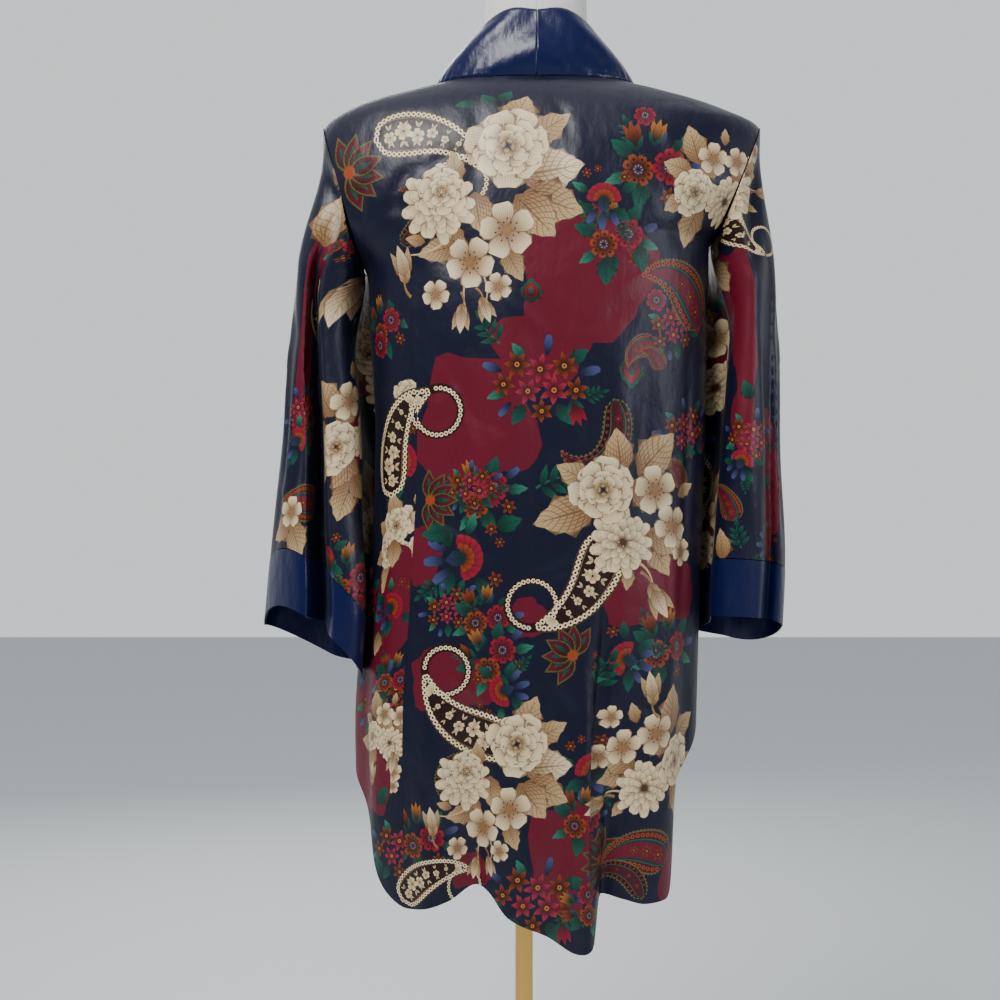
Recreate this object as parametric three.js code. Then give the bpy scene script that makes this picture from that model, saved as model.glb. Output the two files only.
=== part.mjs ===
import * as THREE from 'three';

// Short satin kimono robe worn by a limbless dress form on a pole, in millimetres.
// +Z is up and the front faces -Y. The wearer's left is +X. The origin is on the floor, under the pole.

// Cloth and seams
const CLOTH = 1.6;
const BAND_CLOTH = 2.4;
const SEAM_GAP = 0.3;
const ARMHOLE_GAP = 1.2;
const CUFF_DEPTH = 60;

// Dress form and stand
const BASE_RADIUS = 165;
const HUB_TOP = 52;
const POLE_RADIUS = 9.5;
const TORSO_BOTTOM = 760;
const SEAT_DROP = 2.1;
const LEAN_FROM = 470;
const LEAN_SLOPE = -0.0126;

// The body of the robe is a stack of level rings, each a soft oval about the middle.
const OVAL = 2.4;
const NECK_DIP = 4;
const RINGS = [
  { z: 1411, left: 107, right: 107, back: 62, front: 52 },
  { z: 1400, left: 143, right: 143, back: 74, front: 62 },
  { z: 1390, left: 180, right: 180, back: 82, front: 70 },
  { z: 1380, left: 205, right: 208, back: 88, front: 76 },
  { z: 1366, left: 224, right: 238, back: 94, front: 83 },
  { z: 1340, left: 236, right: 247, back: 102, front: 92 },
  { z: 1300, left: 240, right: 244, back: 109, front: 103 },
  { z: 1258, left: 225, right: 206, back: 112, front: 112 },
  { z: 1240, left: 206, right: 187, back: 113, front: 115 },
  { z: 1205, left: 176, right: 187, back: 114, front: 119 },
  { z: 1160, left: 174, right: 186, back: 115, front: 119 },
  { z: 1035, left: 166, right: 186, back: 113, front: 115 },
  { z: 950, left: 168, right: 184, back: 112, front: 114 },
  { z: 860, left: 176, right: 182, back: 113, front: 115 },
  { z: 740, left: 184, right: 180, back: 116, front: 118 },
  { z: 640, left: 181, right: 178, back: 118, front: 120 },
  { z: 510, left: 176, right: 176, back: 121, front: 122 },
];

// The armholes: the shoulder end of each, and its lowest point under the arm
const ARMHOLES = {
  left: { topZ: 1366, topX: 224, lowZ: 1205, lowX: 176 },
  right: { topZ: 1366, topX: 238, lowZ: 1240, lowX: 187 },
};

// Angles round the rings, in degrees: 0 is the wearer's left, 90 the back, 180 the right, 270 the front.
// The left side seam is drawn round to the back, and the right one stays at the side.
const SIDE_SEAMS = [
  { z: 1240, left: 0, right: 180 },
  { z: 1205, left: 0, right: 176 },
  { z: 1190, left: 22, right: 174 },
  { z: 1170, left: 38, right: 173 },
  { z: 1140, left: 47, right: 172 },
  { z: 1100, left: 49, right: 172 },
  { z: 500, left: 50, right: 172 },
];

// Large drape folds: outward when the depth is positive, growing from the top height to the full height
const FOLDS = [
  { angle: 105, width: 5, depth: 16, top: 900, full: 560 },
  { angle: 112.5, width: 4.5, depth: -15, top: 900, full: 560 },
  { angle: 75, width: 6, depth: -15, top: 860, full: 590 },
  { angle: 62, width: 7, depth: 8, top: 900, full: 590 },
  { angle: 88, width: 6, depth: 6, top: 900, full: 590 },
  { angle: 133, width: 9, depth: 7, top: 950, full: 600 },
  { angle: 152, width: 7, depth: -8, top: 900, full: 620 },
  { angle: 20, width: 9, depth: -7, top: 1120, full: 700 },
  { angle: -24, width: 9, depth: 7, top: 1120, full: 640 },
  { angle: -44, width: 7, depth: -9, top: 1150, full: 600 },
  { angle: 206, width: 9, depth: 7, top: 1120, full: 640 },
  { angle: 226, width: 7, depth: -9, top: 1150, full: 600 },
];

// The hem: its height across the back, and how much it rises towards each side
const BACK_HEM = [
  { x: -150, z: 566 },
  { x: -120, z: 564 },
  { x: -96, z: 570 },
  { x: -74, z: 574 },
  { x: -66, z: 526 },
  { x: -51, z: 521 },
  { x: -18, z: 538 },
  { x: 20, z: 556 },
  { x: 38, z: 578 },
  { x: 50, z: 584 },
  { x: 80, z: 569 },
  { x: 127, z: 558 },
];
const FRONT_HEM = 560;
const SIDE_RISE = {
  left: [
    { angle: 0, rise: 128 },
    { angle: 12, rise: 112 },
    { angle: 23, rise: 78 },
    { angle: 31, rise: 36 },
    { angle: 40, rise: 12 },
    { angle: 52, rise: 0 },
  ],
  right: [
    { angle: 0, rise: 172 },
    { angle: 16, rise: 152 },
    { angle: 25, rise: 128 },
    { angle: 31, rise: 100 },
    { angle: 37, rise: 14 },
    { angle: 44, rise: 0 },
  ],
};

// The band that edges the neck and both fronts: where it is sewn on, and its free edge
const BAND = [
  { seamAngle: 90, freeX: 0, freeY: 60, freeZ: 1477, flat: 0 },
  { seamAngle: 64, freeX: 27, freeY: 57, freeZ: 1479, flat: 0 },
  { seamAngle: 40, freeX: 50, freeY: 44, freeZ: 1470, flat: 0 },
  { seamAngle: 20, freeX: 68, freeY: 25, freeZ: 1455, flat: 0 },
  { seamAngle: 0, freeX: 80, freeY: 2, freeZ: 1440, flat: 0 },
  { seamX: 113, seamZ: 1400, freeX: 82, freeY: -28, freeZ: 1424, flat: 0.5 },
  { seamX: 111, seamZ: 1376, freeX: 76, freeY: -58, freeZ: 1398, flat: 1 },
  { seamX: 101, seamZ: 1330, freeX: 58, freeY: -86, freeZ: 1350, flat: 1 },
  { seamX: 88, seamZ: 1270, freeX: 35, freeY: -105, freeZ: 1286, flat: 1 },
  { seamX: 79, seamZ: 1180, freeX: 18, freeY: -118, freeZ: 1186, flat: 1 },
  { seamX: 77, seamZ: 1000, freeX: 15, freeY: -114, freeZ: 1000, flat: 1 },
  { seamX: 78, seamZ: 780, freeX: 16, freeY: -116, freeZ: 780, flat: 1 },
  { seamX: 79, seamZ: 558, freeX: 17, freeY: -120, freeZ: 557, flat: 1 },
];
const FRONT_EDGE = [
  { z: 1411, x: 107 },
  { z: 1400, x: 113 },
  { z: 1376, x: 111 },
  { z: 1330, x: 101 },
  { z: 1270, x: 88 },
  { z: 1180, x: 79 },
  { z: 1000, x: 77 },
  { z: 780, x: 78 },
  { z: 540, x: 79 },
];

// Hanging sleeves: level sections with an outer edge, an inner edge, the swell of the back
// and front layers, and one deep fold down the back layer
const SLEEVES = {
  left: {
    side: 1,
    hem: { outer: 836, inner: 790, backRise: 46, frontRise: 0 },
    foldWidth: 0.075,
    sections: [
      { z: 1366, outX: 224, inX: 204, inY: 30, back: 38, front: 46, foldAt: 0.4, foldDepth: 0 },
      { z: 1273, outX: 243, inX: 203, inY: 28, back: 40, front: 46, foldAt: 0.4, foldDepth: 6 },
      { z: 1163, outX: 256, inX: 193, inY: 26, back: 42, front: 46, foldAt: 0.42, foldDepth: 38 },
      { z: 1045, outX: 265, inX: 179, inY: 32, back: 46, front: 44, foldAt: 0.48, foldDepth: 52 },
      { z: 950, outX: 274, inX: 175, inY: 48, back: 46, front: 44, foldAt: 0.54, foldDepth: 56 },
      { z: 863, outX: 281, inX: 169, inY: 62, back: 44, front: 42, foldAt: 0.58, foldDepth: 58 },
      { z: 780, outX: 286, inX: 172, inY: 66, back: 42, front: 40, foldAt: 0.6, foldDepth: 58 },
    ],
  },
  right: {
    side: -1,
    hem: { outer: 834, inner: 848, backRise: 10, frontRise: -22 },
    foldWidth: 0.09,
    sections: [
      { z: 1366, outX: 238, inX: 214, inY: 34, back: 46, front: 46, foldAt: 0.25, foldDepth: 0 },
      { z: 1306, outX: 245, inX: 215, inY: 34, back: 48, front: 46, foldAt: 0.25, foldDepth: 0 },
      { z: 1232, outX: 253, inX: 213, inY: 32, back: 48, front: 46, foldAt: 0.25, foldDepth: 4 },
      { z: 1163, outX: 260, inX: 209, inY: 31, back: 46, front: 46, foldAt: 0.25, foldDepth: 8 },
      { z: 1014, outX: 268, inX: 199, inY: 33, back: 46, front: 44, foldAt: 0.26, foldDepth: 14 },
      { z: 906, outX: 274, inX: 192, inY: 36, back: 44, front: 42, foldAt: 0.27, foldDepth: 20 },
      { z: 800, outX: 271, inX: 189, inY: 38, back: 42, front: 40, foldAt: 0.28, foldDepth: 22 },
    ],
  },
};
const SLEEVE_BLEND = 0.3;
const ARMPIT_REACH = 70;

// Dress form: half width, half depth to back and front, and how far forward the middle sits
const TORSO_RINGS = [
  { z: 1366 - SEAT_DROP, half: 205, back: 88, front: 72, forward: 0 },
  { z: 1340, half: 203, back: 93, front: 80, forward: 0 },
  { z: 1300, half: 190, back: 98, front: 90, forward: 0 },
  { z: 1250, half: 170, back: 100, front: 98, forward: 0 },
  { z: 1205, half: 156, back: 100, front: 102, forward: 0 },
  { z: 1140, half: 142, back: 96, front: 94, forward: 0 },
  { z: 1040, half: 122, back: 82, front: 78, forward: 0 },
  { z: 940, half: 140, back: 86, front: 84, forward: 0 },
  { z: 850, half: 152, back: 92, front: 88, forward: 0 },
  { z: TORSO_BOTTOM, half: 148, back: 88, front: 84, forward: 0 },
];
const NECK_RINGS = [
  { z: 1524, half: 40, back: 40, front: 40, forward: 7 },
  { z: 1522, half: 50, back: 50, front: 50, forward: 7 },
  { z: 1516, half: 54, back: 54, front: 54, forward: 7 },
  { z: 1485, half: 55, back: 55, front: 54, forward: 7 },
  { z: 1458, half: 58, back: 55, front: 53, forward: 6 },
  { z: 1438, half: 67, back: 56, front: 52, forward: 4 },
  { z: 1422, half: 84, back: 58, front: 50, forward: 2 },
];

// How far the form's shoulders lie inside the robe's rings
const SEAT_INSETS = [
  { z: 1411, half: 5, back: 5, front: 8 },
  { z: 1400, half: 0.9, back: 1.2, front: 8 },
  { z: 1390, half: 1.6, back: 1.8, front: 8 },
  { z: 1380, half: 3, back: 3, front: 8 },
];

const satinPrint = new THREE.MeshStandardMaterial({ color: 0x1a1b33, roughness: 0.38, metalness: 0 });
const satinNavy = new THREE.MeshStandardMaterial({ color: 0x111a3a, roughness: 0.34, metalness: 0 });
const linen = new THREE.MeshStandardMaterial({ color: 0xe9e6df, roughness: 0.9, metalness: 0 });
const brass = new THREE.MeshStandardMaterial({ color: 0xc29a52, roughness: 0.3, metalness: 1 });

// Smooth reading of one column of a table along another
function readTable(table, key, value, at) {
  const rising = table[0][key] < table[table.length - 1][key];
  const rows = rising ? table : table.slice().reverse();
  const last = rows.length - 1;
  if (at <= rows[0][key]) return rows[0][value];
  if (at >= rows[last][key]) return rows[last][value];
  let i = 0;
  while (at > rows[i + 1][key]) i += 1;
  const slope = (j) => {
    const a = rows[Math.max(j - 1, 0)];
    const b = rows[Math.min(j + 1, last)];
    const before = rows[j][value] - a[value];
    const after = b[value] - rows[j][value];
    if (before * after <= 0) return 0;
    const low = 3 * Math.min(Math.abs(before / (rows[j][key] - a[key])), Math.abs(after / (b[key] - rows[j][key])));
    const mean = (b[value] - a[value]) / (b[key] - a[key]);
    return Math.sign(mean) * Math.min(Math.abs(mean), low);
  };
  const span = rows[i + 1][key] - rows[i][key];
  const t = (at - rows[i][key]) / span;
  const h = t * t * (3 - 2 * t);
  const bend = t * (1 - t) * ((1 - t) * slope(i) - t * slope(i + 1)) * span;
  return rows[i][value] * (1 - h) + rows[i + 1][value] * h + bend;
}

const radians = (degrees) => (degrees * Math.PI) / 180;
const degrees = (angle) => (angle * 180) / Math.PI;
const smooth = (t) => {
  const c = Math.min(Math.max(t, 0), 1);
  return c * c * (3 - 2 * c);
};
const power = (value, exponent) => Math.sign(value) * Math.abs(value) ** exponent;
const lean = (point) => {
  point.x += LEAN_SLOPE * (point.z - LEAN_FROM);
  return point;
};

// Outward push of the drape folds at an angle and a height
function foldPush(angle, z) {
  let push = 0;
  for (const fold of FOLDS) {
    const away = ((angle - fold.angle + 540) % 360) - 180;
    const grown = smooth((fold.top - z) / (fold.top - fold.full));
    push += fold.depth * grown * Math.exp(-((away / fold.width) ** 2));
  }
  return push;
}

// A point of the robe's outer surface
function bodyPoint(angle, z) {
  const c = Math.cos(radians(angle));
  const s = Math.sin(radians(angle));
  const half = readTable(RINGS, 'z', c > 0 ? 'left' : 'right', z);
  const depth = readTable(RINGS, 'z', s > 0 ? 'back' : 'front', z);
  const push = foldPush(angle, z);
  return new THREE.Vector3(
    half * power(c, 2 / OVAL) + push * c,
    depth * power(s, 2 / OVAL) + push * s,
    z,
  );
}

// The outward direction of a surface given by two numbers
function surfaceNormal(surface, u, v, du, dv) {
  const across = surface(u + du, v).sub(surface(u - du, v));
  const along = surface(u, v + dv).sub(surface(u, v - dv));
  return across.cross(along).normalize();
}

function bodyNormal(angle, z) {
  return surfaceNormal(bodyPoint, angle, Math.min(z, RINGS[0].z - 2), 2, 2);
}

// The angle at which a ring reaches a given x, towards the back or the front
function angleAt(x, z, face) {
  const half = readTable(RINGS, 'z', x > 0 ? 'left' : 'right', z);
  const c = power(Math.min(Math.abs(x) / half, 1), OVAL / 2) * Math.sign(x);
  return face === 'back' ? degrees(Math.acos(c)) : 360 - degrees(Math.acos(c));
}

// A closed wall between a grid of outer points and the same points moved in
function wallGeometry(outer, inner, wrap) {
  const rows = outer.length;
  const cols = outer[0].length;
  const positions = [];
  for (const grid of [outer, inner]) {
    for (const row of grid) for (const p of row) positions.push(p.x, p.y, p.z);
  }
  const index = [];
  const at = (layer, r, c) => layer * rows * cols + r * cols + (c % cols);
  const quad = (a, b, c, d) => index.push(a, b, c, a, c, d);
  const spans = wrap ? cols : cols - 1;
  for (let r = 0; r < rows - 1; r += 1) {
    for (let c = 0; c < spans; c += 1) {
      quad(at(0, r, c), at(0, r + 1, c), at(0, r + 1, c + 1), at(0, r, c + 1));
      quad(at(1, r, c), at(1, r, c + 1), at(1, r + 1, c + 1), at(1, r + 1, c));
    }
  }
  for (let c = 0; c < spans; c += 1) {
    quad(at(0, 0, c), at(0, 0, c + 1), at(1, 0, c + 1), at(1, 0, c));
    quad(at(0, rows - 1, c), at(1, rows - 1, c), at(1, rows - 1, c + 1), at(0, rows - 1, c + 1));
  }
  if (!wrap) {
    for (let r = 0; r < rows - 1; r += 1) {
      quad(at(0, r, 0), at(1, r, 0), at(1, r + 1, 0), at(0, r + 1, 0));
      quad(at(0, r, cols - 1), at(0, r + 1, cols - 1), at(1, r + 1, cols - 1), at(1, r, cols - 1));
    }
  }
  return finishGeometry(positions, index);
}

// Turns the faces out if the volume comes out negative, and closes the geometry
function finishGeometry(positions, index) {
  let volume = 0;
  const corner = (i) => new THREE.Vector3().fromArray(positions, i * 3);
  for (let i = 0; i < index.length; i += 3) {
    volume += corner(index[i]).dot(corner(index[i + 1]).cross(corner(index[i + 2])));
  }
  if (volume < 0) {
    for (let i = 0; i < index.length; i += 3) {
      const keep = index[i];
      index[i] = index[i + 1];
      index[i + 1] = keep;
    }
  }
  const geometry = new THREE.BufferGeometry();
  geometry.setAttribute('position', new THREE.Float32BufferAttribute(positions, 3));
  geometry.setIndex(index);
  geometry.computeVertexNormals();
  return geometry;
}

// A panel of the body, from rows of angles and heights
function bodyPanel(rows) {
  const outer = [];
  const inner = [];
  for (const row of rows) {
    const points = row.map(({ angle, z }) => bodyPoint(angle, z));
    const moved = row.map(({ angle, z }, i) => (
      points[i].clone().addScaledVector(bodyNormal(angle, z), -CLOTH)
    ));
    outer.push(points.map(lean));
    inner.push(moved.map(lean));
  }
  return wallGeometry(outer, inner, false);
}

// Angle of the armhole's edge at a height, on the back or the front layer
function armholeAngle(side, z, face) {
  const hole = ARMHOLES[side];
  const t = (hole.topZ - z) / (hole.topZ - hole.lowZ);
  const x = hole.topX + (hole.lowX - hole.topX) * Math.min(Math.max(t, 0), 1);
  return angleAt(side === 'left' ? x : -x, z, face);
}

// The outer edge of a panel at a height: shoulder seam, armhole, then side seam
function edgeAngle(side, z, face) {
  const hole = ARMHOLES[side];
  const shoulder = side === 'left' ? 0 : 180;
  if (z >= hole.topZ) return face === 'front' && side === 'left' ? 360 : shoulder;
  if (z > hole.lowZ) return armholeAngle(side, z, face);
  const seam = readTable(SIDE_SEAMS, 'z', side, z);
  return face === 'front' && side === 'left' ? 360 + seam : seam;
}

// Height of the hem at an angle
function hemHeight(angle) {
  const turned = ((angle % 360) + 360) % 360;
  const fromLeft = Math.min(turned, 360 - turned);
  const fromRight = Math.abs(180 - turned);
  const rise = fromLeft < fromRight
    ? readTable(SIDE_RISE.left, 'angle', 'rise', fromLeft)
    : readTable(SIDE_RISE.right, 'angle', 'rise', fromRight);
  const onBack = turned > 0 && turned < 180;
  const x = bodyPoint(angle, 600).x;
  return (onBack ? readTable(BACK_HEM, 'x', 'z', x) : FRONT_HEM) + rise;
}

const UPPER_LEVELS = [1411, 1400, 1390, 1380, 1366, 1340, 1300, 1258, 1240, 1222, 1205, 1185, 1165, 1140];
const HANG_STEPS = 9;
const gapAngle = degrees(SEAM_GAP / 2 / 150);

// Rows of a panel: level ones first, then rows that spread down to the hem
function panelRows(spread, levels) {
  const rows = levels.map((z) => spread(z).map((angle) => ({ angle, z })));
  const start = levels[levels.length - 1];
  for (let i = 1; i <= HANG_STEPS; i += 1) {
    const t = i / HANG_STEPS;
    rows.push(spread(start + (560 - start) * t).map((angle) => (
      { angle, z: start + (hemHeight(angle) - start) * t }
    )));
  }
  return rows;
}

const BACK_SHARES = [0, 0.05, 0.1, 0.15, 0.2, 0.25, 0.3, 0.35, 0.4, 0.44, 0.465, 0.485, 0.505, 0.53,
  0.57, 0.62, 0.67, 0.72, 0.77, 0.82, 0.865, 0.91, 0.955, 1];

function backGeometry() {
  const spread = (z) => {
    const from = edgeAngle('left', z, 'back') + gapAngle * 2;
    const to = edgeAngle('right', z, 'back') - gapAngle * 2;
    return BACK_SHARES.map((share) => from + (to - from) * share);
  };
  const rows = panelRows(spread, UPPER_LEVELS);
  rows[0].forEach((node) => {
    node.z -= NECK_DIP * Math.sin(radians(node.angle)) ** 2;
  });
  return bodyPanel(rows);
}

// A front, from its side edge round to the band
function frontGeometry(side) {
  const steps = side === 'left' ? 14 : 11;
  const sign = side === 'left' ? 1 : -1;
  const spread = (z) => {
    const edge = edgeAngle(side, z, 'front') - sign * gapAngle * 2;
    const band = angleAt(sign * (readTable(FRONT_EDGE, 'z', 'x', z) + SEAM_GAP), z, 'front');
    return Array.from({ length: steps + 1 }, (_, i) => edge + ((band - edge) * i) / steps);
  };
  return bodyPanel(panelRows(spread, UPPER_LEVELS.slice(1)));
}

// The sewn edge of the band at a table row, with x counted outwards from the middle
function bandSeam(row, side) {
  if (row.seamAngle !== undefined) {
    const z = RINGS[0].z - NECK_DIP * Math.sin(radians(row.seamAngle)) ** 2;
    return bodyPoint(row.seamAngle, z).add(new THREE.Vector3(0, 0, 0.45));
  }
  return frontPoint(row.seamX - SEAM_GAP, row.seamZ, side);
}

// A point on the robe's front, with x counted outwards from the middle
function frontPoint(x, z, side) {
  const sign = side === 'left' ? 1 : -1;
  const point = bodyPoint(angleAt(sign * Math.max(x, 1), z, 'front'), z);
  point.x *= sign;
  return point;
}

const BAND_ACROSS = [0, 0.2, 0.4, 0.6, 0.8, 1];
const BAND_STEPS = 30;
const BAND_SWELL = 5;

// One half of the band, from the seam at the nape down to the hem
function bandGeometry(side) {
  const sewn = BAND.map((row) => bandSeam(row, side));
  const seams = new THREE.CatmullRomCurve3(sewn, false, 'centripetal');
  const edge = BAND.map((row) => new THREE.Vector3(row.freeX, row.freeY, row.freeZ));
  const frees = new THREE.CatmullRomCurve3(edge, false, 'centripetal');
  const flats = BAND.map((row, i) => ({ step: i / (BAND.length - 1), flat: row.flat }));
  const surface = (t, across) => {
    const point = seams.getPoint(t).lerp(frees.getPoint(t), across);
    const flat = readTable(flats, 'step', 'flat', t);
    const swell = BAND_SWELL * Math.sin(Math.PI * across) * (1 - flat);
    point.addScaledVector(new THREE.Vector3(point.x, point.y, 0).normalize(), swell);
    point.y += (frontPoint(point.x, point.z, side).y - point.y) * flat;
    return point;
  };
  const outer = [];
  const inner = [];
  for (let i = 0; i <= BAND_STEPS; i += 1) {
    const t = i / BAND_STEPS;
    const row = BAND_ACROSS.map((across) => surface(t, across));
    const moved = BAND_ACROSS.map((across, k) => {
      const u = Math.min(Math.max(t, 0.005), 0.995);
      const v = Math.min(Math.max(across, 0.01), 0.99);
      const normal = surfaceNormal(surface, u, v, 0.005, 0.01);
      const outward = normal.dot(new THREE.Vector3(row[k].x, row[k].y, 40)) < 0 ? -1 : 1;
      return row[k].clone().addScaledVector(normal, -BAND_CLOTH * outward);
    });
    const place = (p) => {
      const x = i === 0 ? SEAM_GAP / 2 : p.x;
      return lean(new THREE.Vector3(side === 'left' ? x : -x, p.y, p.z));
    };
    outer.push(row.map(place));
    inner.push(moved.map(place));
  }
  return wallGeometry(outer, inner, false);
}

// One point of a sleeve's loop: turn 0 is the outer edge, a quarter the back, a half the inner edge
function sleevePoint(side, turn, z) {
  const sleeve = SLEEVES[side];
  const read = (name) => readTable(sleeve.sections, 'z', name, z);
  const a = 2 * Math.PI * turn;
  const r = (1 - Math.cos(a)) / 2;
  const out = read('outX');
  const x = out + (read('inX') - out) * r;
  const swell = turn < 0.5 ? read('back') * Math.sin(a) : read('front') * Math.sin(a);
  const fold = turn < 0.5
    ? read('foldDepth') * Math.exp(-(((r - read('foldAt')) / sleeve.foldWidth) ** 2))
    : 0;
  return new THREE.Vector3(sleeve.side * x, read('inY') * r + swell - fold, z);
}

// The armhole loop at the same turn
function armholePoint(side, turn) {
  const hole = ARMHOLES[side];
  const r = (1 - Math.cos(2 * Math.PI * turn)) / 2;
  const z = hole.topZ + (hole.lowZ - hole.topZ) * r;
  return bodyPoint(armholeAngle(side, z, turn < 0.5 ? 'back' : 'front'), z);
}

function sleeveHem(side, turn) {
  const { hem } = SLEEVES[side];
  const a = 2 * Math.PI * turn;
  const r = (1 - Math.cos(a)) / 2;
  const rise = turn < 0.5 ? hem.backRise * Math.sin(a) * (1 - 0.5 * r) : -hem.frontRise * Math.sin(a);
  return hem.outer + (hem.inner - hem.outer) * r + rise;
}

function sleeveTurns(side) {
  const backTurns = [0, 0.035, 0.07, 0.105, 0.14, 0.17, 0.195, 0.215, 0.235, 0.255, 0.275, 0.3, 0.33,
    0.365, 0.4, 0.435, 0.468];
  const frontTurns = [0.5, 0.54, 0.58, 0.63, 0.69, 0.75, 0.81, 0.87, 0.92, 0.96];
  return side === 'left' ? [...backTurns, ...frontTurns] : [...backTurns, ...frontTurns];
}

// A tube between the armhole and the cuff, or the cuff itself
function sleeveTube(side, shares, cuff) {
  const sign = SLEEVES[side].side;
  const surface = (turn, share) => {
    const wrapped = ((turn % 1) + 1) % 1;
    const top = armholePoint(side, wrapped);
    const low = sleeveHem(side, wrapped);
    const end = low + CUFF_DEPTH;
    const start = cuff ? end - 3 * SEAM_GAP : top.z;
    const z = start + ((cuff ? low : end) - start) * share;
    const hung = sleevePoint(side, wrapped, z);
    if (cuff) return hung;
    const settle = smooth(share / SLEEVE_BLEND);
    const above = smooth((top.z - ARMHOLES[side].lowZ) / ARMPIT_REACH);
    top.x += sign * ARMHOLE_GAP * (3 - 2 * above);
    return new THREE.Vector3(top.x + (hung.x - top.x) * settle, top.y + (hung.y - top.y) * settle, z);
  };
  const outer = [];
  const inner = [];
  const thick = cuff ? BAND_CLOTH : CLOTH;
  for (const share of shares) {
    const outRow = [];
    const inRow = [];
    for (const turn of sleeveTurns(side)) {
      const point = surface(turn, share);
      const normal = surfaceNormal(surface, turn, share, 0.008, 0.02).multiplyScalar(sign);
      if (cuff || share > 0.5) normal.setZ(0).normalize();
      if (share === 0 && !cuff) {
        const { z } = point;
        const angle = armholeAngle(side, z, turn < 0.5 ? 'back' : 'front');
        const above = smooth((z - ARMHOLES[side].lowZ) / ARMPIT_REACH);
        normal.lerp(bodyNormal(angle, z), above).normalize();
      }
      outRow.push(lean(point.clone()));
      inRow.push(lean(point.addScaledVector(normal, -thick)));
    }
    outer.push(outRow);
    inner.push(inRow);
  }
  return wallGeometry(outer, inner, true);
}

// A closed body from level rings, with flat ends
function ringBody(rings, angles) {
  const positions = [];
  const index = [];
  const count = angles.length;
  for (const ring of rings) {
    for (const angle of angles) {
      const c = Math.cos(radians(angle));
      const s = Math.sin(radians(angle));
      const depth = s > 0 ? ring.back : ring.front;
      const dip = s > 0 ? ring.dip * s * s : 0;
      const p = lean(new THREE.Vector3(
        ring.half * power(c, 2 / ring.oval), depth * power(s, 2 / ring.oval) - ring.forward, ring.z - dip,
      ));
      positions.push(p.x, p.y, p.z);
    }
  }
  for (let r = 0; r < rings.length - 1; r += 1) {
    for (let i = 0; i < count; i += 1) {
      const j = (i + 1) % count;
      const a = r * count;
      const b = a + count;
      index.push(a + i, b + i, b + j, a + i, b + j, a + j);
    }
  }
  for (const [r, flip] of [[0, false], [rings.length - 1, true]]) {
    const ring = rings[r];
    const centre = lean(new THREE.Vector3(0, -ring.forward, ring.z));
    positions.push(centre.x, centre.y, centre.z);
    const middle = positions.length / 3 - 1;
    for (let i = 0; i < count; i += 1) {
      const a = r * count + i;
      const b = r * count + ((i + 1) % count);
      index.push(middle, flip ? b : a, flip ? a : b);
    }
  }
  return finishGeometry(positions, index);
}

// The form's shoulders repeat the robe's rings just below them, so the cloth rests on them
function formGeometry() {
  const seat = SEAT_INSETS.map(({ z, half, back, front }) => ({
    z: z - SEAT_DROP,
    half: readTable(RINGS, 'z', 'left', z) - half,
    back: readTable(RINGS, 'z', 'back', z) - back,
    front: readTable(RINGS, 'z', 'front', z) - front,
    forward: 0,
    dip: z === RINGS[0].z ? NECK_DIP : 0,
  }));
  const rings = [...NECK_RINGS, ...seat, ...TORSO_RINGS].map((ring) => {
    const neck = smooth((ring.z - 1411) / 50);
    return { dip: 0, ...ring, oval: OVAL + (2 - OVAL) * neck };
  });
  const backAngles = BACK_SHARES.map((share) => 180 * share);
  const frontAngles = Array.from({ length: 15 }, (_, i) => 186 + 12 * i).filter((angle) => angle < 360);
  return ringBody(rings, [...backAngles, ...frontAngles]);
}

function lathe(profile, segments) {
  const points = profile.map(([radius, height]) => new THREE.Vector2(radius, height));
  const geometry = new THREE.LatheGeometry(points, segments);
  geometry.rotateX(Math.PI / 2);
  return geometry;
}

function named(name, geometry, material) {
  const mesh = new THREE.Mesh(geometry, material);
  mesh.name = name;
  return mesh;
}

const robe = new THREE.Group();
robe.add(named('back', backGeometry(), satinPrint));
for (const side of ['left', 'right']) {
  robe.add(named(`front_${side}`, frontGeometry(side), satinPrint));
  const shares = [0, 0.04, 0.09, 0.15, 0.22, 0.3, 0.4, 0.5, 0.6, 0.7, 0.8, 0.9, 1];
  robe.add(named(`sleeve_${side}`, sleeveTube(side, shares, false), satinPrint));
  robe.add(named(`cuff_${side}`, sleeveTube(side, [0, 0.5, 1], true), satinNavy));
  robe.add(named(`band_${side}`, bandGeometry(side), satinNavy));
}

const stand = new THREE.Group();
stand.add(named('form_body', formGeometry(), linen));
const poleLength = TORSO_BOTTOM - HUB_TOP - 2 * SEAM_GAP;
const pole = named('pole', new THREE.CylinderGeometry(POLE_RADIUS, POLE_RADIUS, poleLength, 24), brass);
pole.rotation.x = Math.PI / 2;
pole.position.z = HUB_TOP + SEAM_GAP + poleLength / 2;
stand.add(pole);
const socketProfile = [
  [POLE_RADIUS + SEAM_GAP, -34], [16, -34], [16, -8], [34, -5], [34, 0], [POLE_RADIUS + SEAM_GAP, 0],
  [POLE_RADIUS + SEAM_GAP, -34],
];
const socket = named('pole_socket', lathe(socketProfile, 24), brass);
socket.position.z = TORSO_BOTTOM - SEAM_GAP;
stand.add(socket);
const baseProfile = [
  [0, 0], [BASE_RADIUS - 2, 0], [BASE_RADIUS, 2], [BASE_RADIUS, 9], [BASE_RADIUS - 6, 13], [70, 19],
  [30, 25], [18, 34], [16, HUB_TOP], [0, HUB_TOP],
];
stand.add(named('base', lathe(baseProfile, 48), brass));

const object = new THREE.Group();
object.add(robe, stand);

export default object;
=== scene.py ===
"""Short satin kimono robe on a limbless dress form: printed panels, band, cuffs, form, stand and studio."""

import logging
import math
from dataclasses import dataclass, field, replace
from enum import Enum
from typing import Callable, Iterable, Sequence

import bpy
import numpy as np
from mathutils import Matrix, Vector
from mathutils.geometry import delaunay_2d_cdt


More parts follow.
